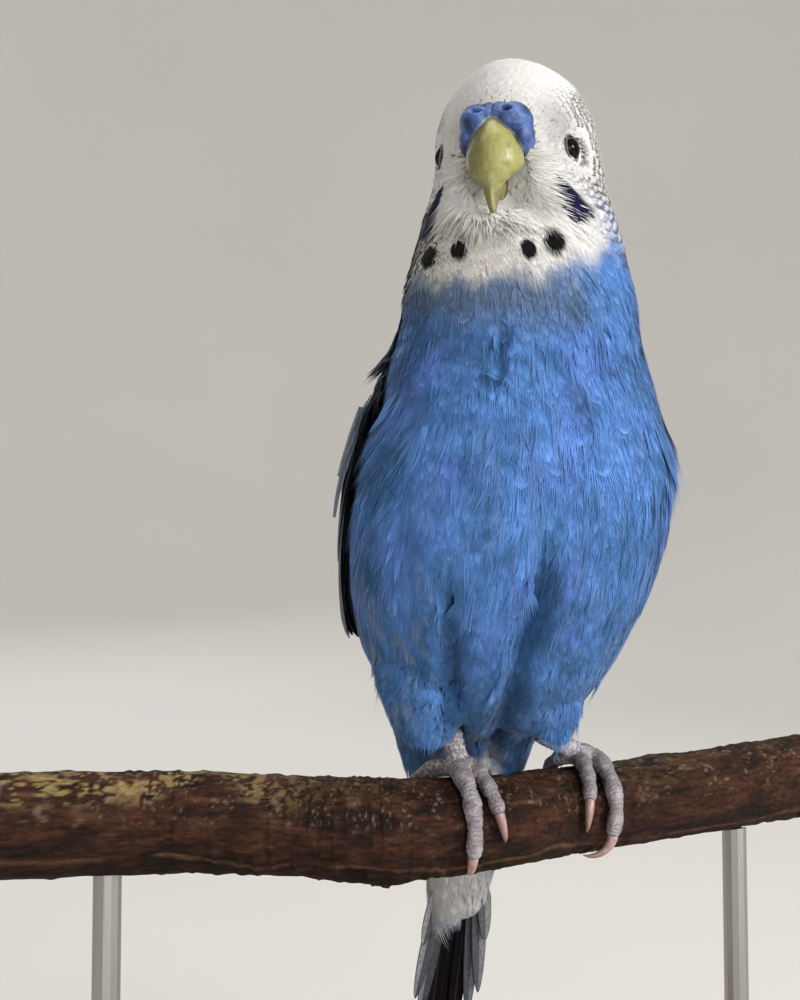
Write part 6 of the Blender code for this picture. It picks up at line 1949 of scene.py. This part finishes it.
def hornColour(points, head, lower=False):
    sideways, forward, up = head
    tall = np.array([1.0, 1.0, 0.35])
    tone = cloud(points * tall, 1.1, 2.0)
    fine = cloud(points * tall, 0.32, 6.0)
    # painted shade: the upper bill turns to a darker green on the bird's right side
    colour = mix(np.array(bill["yellow"]), np.array(bill["greenAndShade"]), (0.8 * ramp(-sideways + 1.2 * (tone - 0.5), -0.6, 2.2) * ramp(up, -8, -4))[:, None])
    colour = mix(colour, np.array(bill["greenAndShade"]), (0.6 * np.exp(-(((sideways + 1.3) / 0.9) ** 2)) * ramp(up, -7, -2))[:, None])
    colour = mix(colour, np.array(bill["pale"]), (0.35 * ramp(tone, 0.55, 0.8))[:, None])
    colour = mix(colour, np.array(bill["tip"]), ramp(-up, 6.0, 8.0)[:, None])
    streak = np.exp(-(((sideways - 0.25) / 0.22) ** 2)) * ramp(-up, 6.6, 7.6) * ramp(up, -10.4, -9.2)
    colour = mix(colour, np.array(bill["pale"]), (0.7 * streak)[:, None])
    colour = mix(colour, np.array(bill["dark"]), (0.5 * ramp(fine, 0.66, 0.78) + 0.35 * ramp(-fine, -0.3, -0.2))[:, None].clip(0, 1) * 0.5)
    if lower:
        colour = colour * np.array([0.5, 0.42, 0.35])
    return colour


def gridNormalsOf(grid):
    byRow = np.gradient(grid, axis=0)
    byColumn = np.roll(grid, -1, 1) - np.roll(grid, 1, 1)
    return unit(np.cross(byColumn, byRow))


def makeBill():
    shader = Shader("billHorn", 0.42, Specular_IOR_Level=0.35, Coat_Weight=0.08, Coat_Roughness=0.25,
                    Subsurface_Weight=0.12, Subsurface_Scale=0.0008)
    colour = shader.attribute("plumage").outputs["Color"]
    growth = shader.noise(1300.0, 4.0, 0.6, source=shader.stretch(1.0, 1.0, 0.45))
    shader.finish(colour, shader.range(growth, 0.35, 0.7, 0.3, 0.48), shader.bump(growth, 0.00006))
    shells = []
    for name, node, sections, rings, sides in (
        ("billUpper", "bill_upper", bill["upper"], 110, 96), ("billLower", "bill_lower", bill["lower"], 60, 72),
    ):
        grid = billGrid(sections, rings, sides)
        normals = gridNormalsOf(grid)
        if (normals[rings // 2] * (grid[rings // 2] - grid[rings // 2].mean(0))).sum() < 0:
            grid = grid[:, ::-1]
            normals = -normals[:, ::-1]
        relief = 0.05 * (cloud(grid * np.array([1, 1, 2.2]), 1.2, 3.0) - 0.5) + 0.02 * (cloud(grid, 0.4, 7.0) - 0.5)
        if node == "bill_upper":
            sideways, forward, up = toHead(grid)
            flake = ramp(cloud(grid * np.array([1, 1, 1.6]), 1.5, 9.0), 0.56, 0.62) * ramp(up, -8, -6)
            relief = relief + 0.02 * flake
            tomium = np.exp(-(((sideways ** 2) ** 0.5 - 2.3) / 0.5) ** 2) * np.exp(-(((up + 4.9) / 0.5) ** 2))
            relief = relief - 0.18 * tomium
        grid = grid + normals * relief[..., None]
        shells.append(grid)
        points, faces = closedGrid(grid)
        colours = hornColour(points, toHead(points), node == "bill_lower")
        rows, columns = grid.shape[:2]
        patches = np.stack(np.meshgrid((np.arange(columns) + 0.5) / columns, np.linspace(0.02, 0.98, rows)), -1).reshape(-1, 2)
        patches = np.concatenate([patches, [[0.5, 0.0], [0.5, 1.0]]])
        piece = makeMesh(name, points, faces, shader.material, {"plumage": colours}, patches)
        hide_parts(node)
    return shells[0].reshape(-1, 3)


def makeCere(billShell):
    axes = headAxes()
    grids = [ballGrid(onHead(s, f, u), radii, axes, 40, 26) for s, f, u, radii in cere["lobes"]]
    points, normals, faces = fusedMesh("cere", grids, cere["voxel"], 8)
    sideways, forward, up = toHead(points)
    side = np.abs(sideways)
    # a fold down the middle, a rim over the bill and two nostrils
    fold = 0.28 * np.exp(-((sideways / 0.35) ** 2)) * ramp(up, -0.5, 2.0)
    wrinkle = 0.10 * (cloud(points, 0.7, 3.0) - 0.5) + 0.06 * (cloud(points, 0.3, 5.0) - 0.5)
    holeSide, holeForward, holeUp = cere["nostril"]
    wide, deep, tall = cere["nostrilRadii"]
    hole = np.hypot((side - holeSide) / wide, (up - holeUp) / tall)
    pit = 0.85 * np.exp(-(hole**4)) * ramp(forward, 11.5, 12.5)
    swell = 0.22 * np.exp(-(((hole - 1.7) / 0.6) ** 2)) * ramp(forward, 11.0, 12.5)
    points = points + normals * (wrinkle - fold - pit + swell)[:, None]
    tone = cloud(points, 1.3, 6.0)
    colour = mix(np.array(cere["blue"]), np.array(cere["blueLightAndHighlight"]), (0.7 * ramp(tone, 0.42, 0.72))[:, None])
    # painted highlight: a lighter ring on the swelling round each nostril
    colour = mix(colour, np.array(cere["blueLightAndHighlight"]) * 1.3, (0.45 * np.exp(-(((hole - 1.7) / 0.6) ** 2)))[:, None])
    colour = mix(colour, np.array(cere["blueDarkAndShade"]), (0.8 * ramp(-tone, -0.36, -0.22))[:, None])
    # painted shade: the nostril pits are darkened
    colour = mix(colour, np.array(cere["blueDarkAndShade"]) * 0.4, np.exp(-((hole / 0.9) ** 4))[:, None])
    tree = kdtree.KDTree(len(billShell))
    for k, point in enumerate(billShell.tolist()):
        tree.insert(point, k)
    tree.balance()
    gap = np.array([tree.find(point)[2] for point in points.tolist()])
    rim = ramp(-gap, -0.42, -0.2) * ramp(forward, 10.5, 12.0)
    colour = mix(colour, np.array(cere["rim"]), (0.6 * rim)[:, None])
    shader = Shader("cereSkin", 0.5, Specular_IOR_Level=0.4, Subsurface_Weight=0.1, Subsurface_Scale=0.0005,
                    Coat_Weight=0.1, Coat_Roughness=0.3)
    paint = shader.attribute("plumage").outputs["Color"]
    pores = shader.cells(2600.0)
    fine = shader.noise(2200.0, 4.0, 0.6)
    normal = shader.bump(fine, 0.0001, normal=shader.bump(pores, 0.00008))
    shader.finish(paint, shader.range(fine, 0.35, 0.7, 0.62, 0.4), normal)
    piece = makeMesh("cere", points, faces, shader.material, {"plumage": colour}, boxPatches(points, normals))
    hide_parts("cere")


lids = {
    "radius": 1.62,
    "beads": 30,
    "bead": 0.12,
    "ring": 0.2,
    "stretch": 1.06,
    "out": 0.12,
    "grey": (0.17, 0.165, 0.17),
    "greyDark": (0.035, 0.033, 0.036),
}


def makeEyes():
    shader = Shader("eyeBall", 0.05, Specular_IOR_Level=0.22, IOR=1.3)
    paint = shader.attribute("plumage").outputs["Color"]
    depth = shader.noise(1800.0, 2.0)
    shader.finish(paint, shader.range(depth, 0.3, 0.7, 0.03, 0.07))
    lidShader = Shader("eyeLids", 0.6, Specular_IOR_Level=0.2, Subsurface_Weight=0.1, Subsurface_Scale=0.0004)
    paint = lidShader.attribute("plumage").outputs["Color"]
    fine = lidShader.noise(3000.0, 3.0)
    lidShader.finish(paint, lidShader.range(fine, 0.3, 0.7, 0.6, 0.4), lidShader.bump(fine, 0.00006))
    for name, side in (("left", 1), ("right", -1)):
        centre, direction = eyeCentre(side)
        turn = np.array(Vector(direction).to_track_quat("Z", "Y").to_matrix())
        ball = ballGrid(centre, (eyes["radius"],) * 3, turn, 64, 40)
        points, faces = closedGrid(ball)
        facing = unit(points - centre) @ direction
        iris = ramp(facing, 0.70, 0.76) * (1 - ramp(facing, 0.86, 0.88))
        colour = mix(np.array([0.002, 0.002, 0.002]), np.array([0.007, 0.005, 0.004]), iris[:, None])
        patches = 0.5 + 0.45 * ((points - centre) @ turn)[:, :2] / eyes["radius"]
        piece = makeMesh("eyeBall_" + name, points, faces, shader.material, {"plumage": colour}, patches)
        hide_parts("eye_" + name)
        surface = centre + direction * eyes["sink"]
        turns = 2 * math.pi * np.arange(90) / 90
        away = np.stack([np.cos(turns), np.sin(turns) * lids["stretch"], 0 * turns], -1) @ turn.T
        tube = []
        for angle in 2 * math.pi * np.arange(14) / 14:
            wave = 1 + 0.10 * np.cos(turns * lids["beads"])
            wide = lids["radius"] + 0.12 + lids["bead"] * wave * math.cos(angle)
            deep = lids["out"] + lids["bead"] * 1.25 * wave * math.sin(angle)
            tube.append(surface + away * wide[:, None] + direction * deep[:, None])
        grid = np.array(tube).transpose(1, 0, 2)
        rows, columns = grid.shape[:2]
        i, j = np.meshgrid(np.arange(rows), np.arange(columns), indexing="ij")
        a, b = i * columns + j, i * columns + (j + 1) % columns
        c, d = (i + 1) % rows * columns + (j + 1) % columns, (i + 1) % rows * columns + j
        lidFaces = np.stack([a, b, c, d], -1).reshape(-1, 4)
        lidPoints = grid.reshape(-1, 3)
        tone = cloud(lidPoints, 0.4, 3.0)
        wave = 0.5 + 0.5 * np.cos(np.repeat(turns, columns) * lids["beads"])
        colour = mix(np.array(lids["greyDark"]), np.array(lids["grey"]), (0.35 + 0.5 * wave + 0.3 * (tone - 0.5))[:, None].clip(0, 1))
        patches = np.stack([0.02 + 0.96 * i / rows, 0.02 + 0.96 * j / columns], -1).reshape(-1, 2)
        makeMesh("lids_" + name, lidPoints, lidFaces, lidShader.material, {"plumage": colour}, patches)


# The stand: a turned wooden base and two metal rods

stand = {
    "size": (130.0, 104.0, 8.0),
    "edge": 1.6,
    "rodX": 48.0,
    "rodRadius": 2.0,
    "woodLight": (0.37, 0.205, 0.10),
    "woodDark": (0.155, 0.072, 0.034),
}


def makeStand():
    length, width, height = stand["size"]
    edge = stand["edge"]
    corner = np.radians(np.linspace(0, 90, 9))
    inset = [(-30.0, 0.0), (-4.0, 0.0), (-0.9, 0.0), (-0.35, 0.15), (0.0, 0.6), (0.0, height - edge - 1.4)]
    inset += [(-0.35, height - edge - 1.2), (-0.35, height - edge - 0.9), (0.0, height - edge - 0.7)]
    inset += [(-edge * (1 - math.cos(a)), height - edge + edge * math.sin(a)) for a in corner]
    inset += [(-edge - 1.0, height), (-edge - 6.0, height), (-30.0, height)]
    sides = 220
    turn = 2 * math.pi * np.arange(sides) / sides
    grid = []
    for away, z in inset:
        scaleX, scaleY = (length / 2 + away) / (length / 2), (width / 2 + away) / (width / 2)
        grid.append(np.stack([np.cos(turn) * length / 2 * scaleX, np.sin(turn) * width / 2 * scaleY, z + 0 * turn], -1))
    grid = np.array(grid)
    points, faces = closedGrid(grid)
    shader = Shader("standWood", 0.38, Specular_IOR_Level=0.45, Coat_Weight=0.25, Coat_Roughness=0.25)
    source = shader.stretch(12.0, 140.0, 140.0)
    warp = shader.noise(1.0, 4.0, 0.6, source=source, distortion=0.6)
    rings = shader.math("SINE", shader.math("MULTIPLY", warp, 42.0))
    grain = shader.noise(6.0, 3.0, 0.7, source=shader.stretch(14.0, 420.0, 420.0))
    share = shader.range(rings, -1.0, 1.0, 0.14, 0.7)
    share = shader.math("ADD", share, shader.range(grain, 0.35, 0.7, -0.18, 0.3), clamp=True)
    colour = shader.blend(share, stand["woodLight"], stand["woodDark"])
    rough = shader.range(grain, 0.3, 0.7, 0.34, 0.5)
    shader.finish(colour, rough, shader.bump(grain, 0.00008))
    patches = np.concatenate([boxPatches(points, np.tile([[0, 0, 1.0]], (len(points), 1)))])
    base = makeMesh("standBase", points, faces, shader.material, None, patches)
    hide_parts("stand_base")
    metal = Shader("brushedMetal", 0.32, Metallic=0.95, Base_Color=(0.34, 0.335, 0.32, 1.0))
    brushed = metal.noise(900.0, 3.0, 0.6, source=metal.stretch(1.0, 1.0, 0.02))
    metal.finish(None, metal.range(brushed, 0.3, 0.7, 0.24, 0.42), metal.bump(brushed, 0.00003))
    for name in ("left", "right"):
        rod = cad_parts["stand_rod_" + name]
        rod.material_slots[0].material = metal.material


makeCere(makeBill())
print("bill and cere ready")
makeEyes()
print("eyes ready")
makeStand()
print("stand ready")


# Camera, floor and light

view = {
    "lens": 41.4,
    "place": (-7.5, -172.0, 120.6),
    "tilt": 2.99,
    "floorColour": (0.56, 0.545, 0.515),
}


def makeCamera():
    data = bpy.data.cameras.new("camera")
    data.lens = view["lens"]
    data.sensor_width = 36.0
    data.sensor_fit = "AUTO"
    data.clip_start = 0.005
    camera = bpy.data.objects.new("camera", data)
    camera.location = Vector(view["place"]) * mm
    camera.rotation_euler = (math.radians(90 + view["tilt"]), 0, 0)
    bpy.context.scene.collection.objects.link(camera)
    bpy.context.scene.camera = camera


def makeFloor():
    # a floor that curves up all round into a far wall
    flat, bend, high = 0.75, 0.7, 2.4
    profile = [(0.001, 0.0), (0.2, 0.0), (0.5, 0.0), (flat, 0.0)]
    profile += [(flat + bend * math.sin(a), bend - bend * math.cos(a)) for a in np.radians(np.arange(6, 91, 6))]
    profile += [(flat + bend, high)]
    turn = 2 * math.pi * np.arange(96) / 96
    points = np.array([[(r * math.cos(a) / mm, r * math.sin(a) / mm, z / mm) for a in turn] for r, z in profile])
    shader = Shader("studioFloor", 0.9, Emission_Color=(0.80, 0.785, 0.75, 1.0), Emission_Strength=0.17)
    soft = shader.range(shader.noise(3.0, 2.0), 0.3, 0.7, 0.0, 1.0)
    shader.finish(shader.blend(soft, view["floorColour"], tuple(c * 1.04 for c in view["floorColour"])))
    faces = gridFaces(len(profile), 96, wrap=True)[:, ::-1]
    floor = makeMesh("floor", points.reshape(-1, 3), faces, shader.material, ride=False)


def addLight(name, place, target, size, power, colour):
    data = bpy.data.lights.new(name, "AREA")
    data.size = size
    data.energy = power
    data.color = colour
    light = bpy.data.objects.new(name, data)
    light.visible_camera = False
    light.location = Vector(place)
    light.rotation_euler = (Vector(target) - Vector(place)).to_track_quat("-Z", "Y").to_euler()
    bpy.context.scene.collection.objects.link(light)


def makeLights():
    world = bpy.data.worlds.new("studio")
    world.use_nodes = True
    world.node_tree.nodes["Background"].inputs["Color"].default_value = (0.88, 0.93, 1.0, 1.0)
    world.node_tree.nodes["Background"].inputs["Strength"].default_value = 0.24
    bpy.context.scene.world = world
    target = (0.005, -0.01, 0.14)
    addLight("keyLight", (0.72, -0.52, 0.42), target, 0.28, 7.4, (1.0, 0.98, 0.955))
    addLight("frontLight", (0.34, -0.88, 0.16), target, 0.5, 5.2, (1.0, 0.99, 0.98))
    addLight("topLight", (0.02, 0.05, 0.80), target, 0.5, 2.4, (1.0, 0.98, 0.95))
    addLight("backLight", (-0.30, 0.80, 0.50), target, 0.6, 1.8, (0.95, 0.97, 1.0))
    bpy.context.scene.view_settings.view_transform = "Standard"


makeCamera()
makeFloor()
makeLights()
print("camera, floor and lights ready")
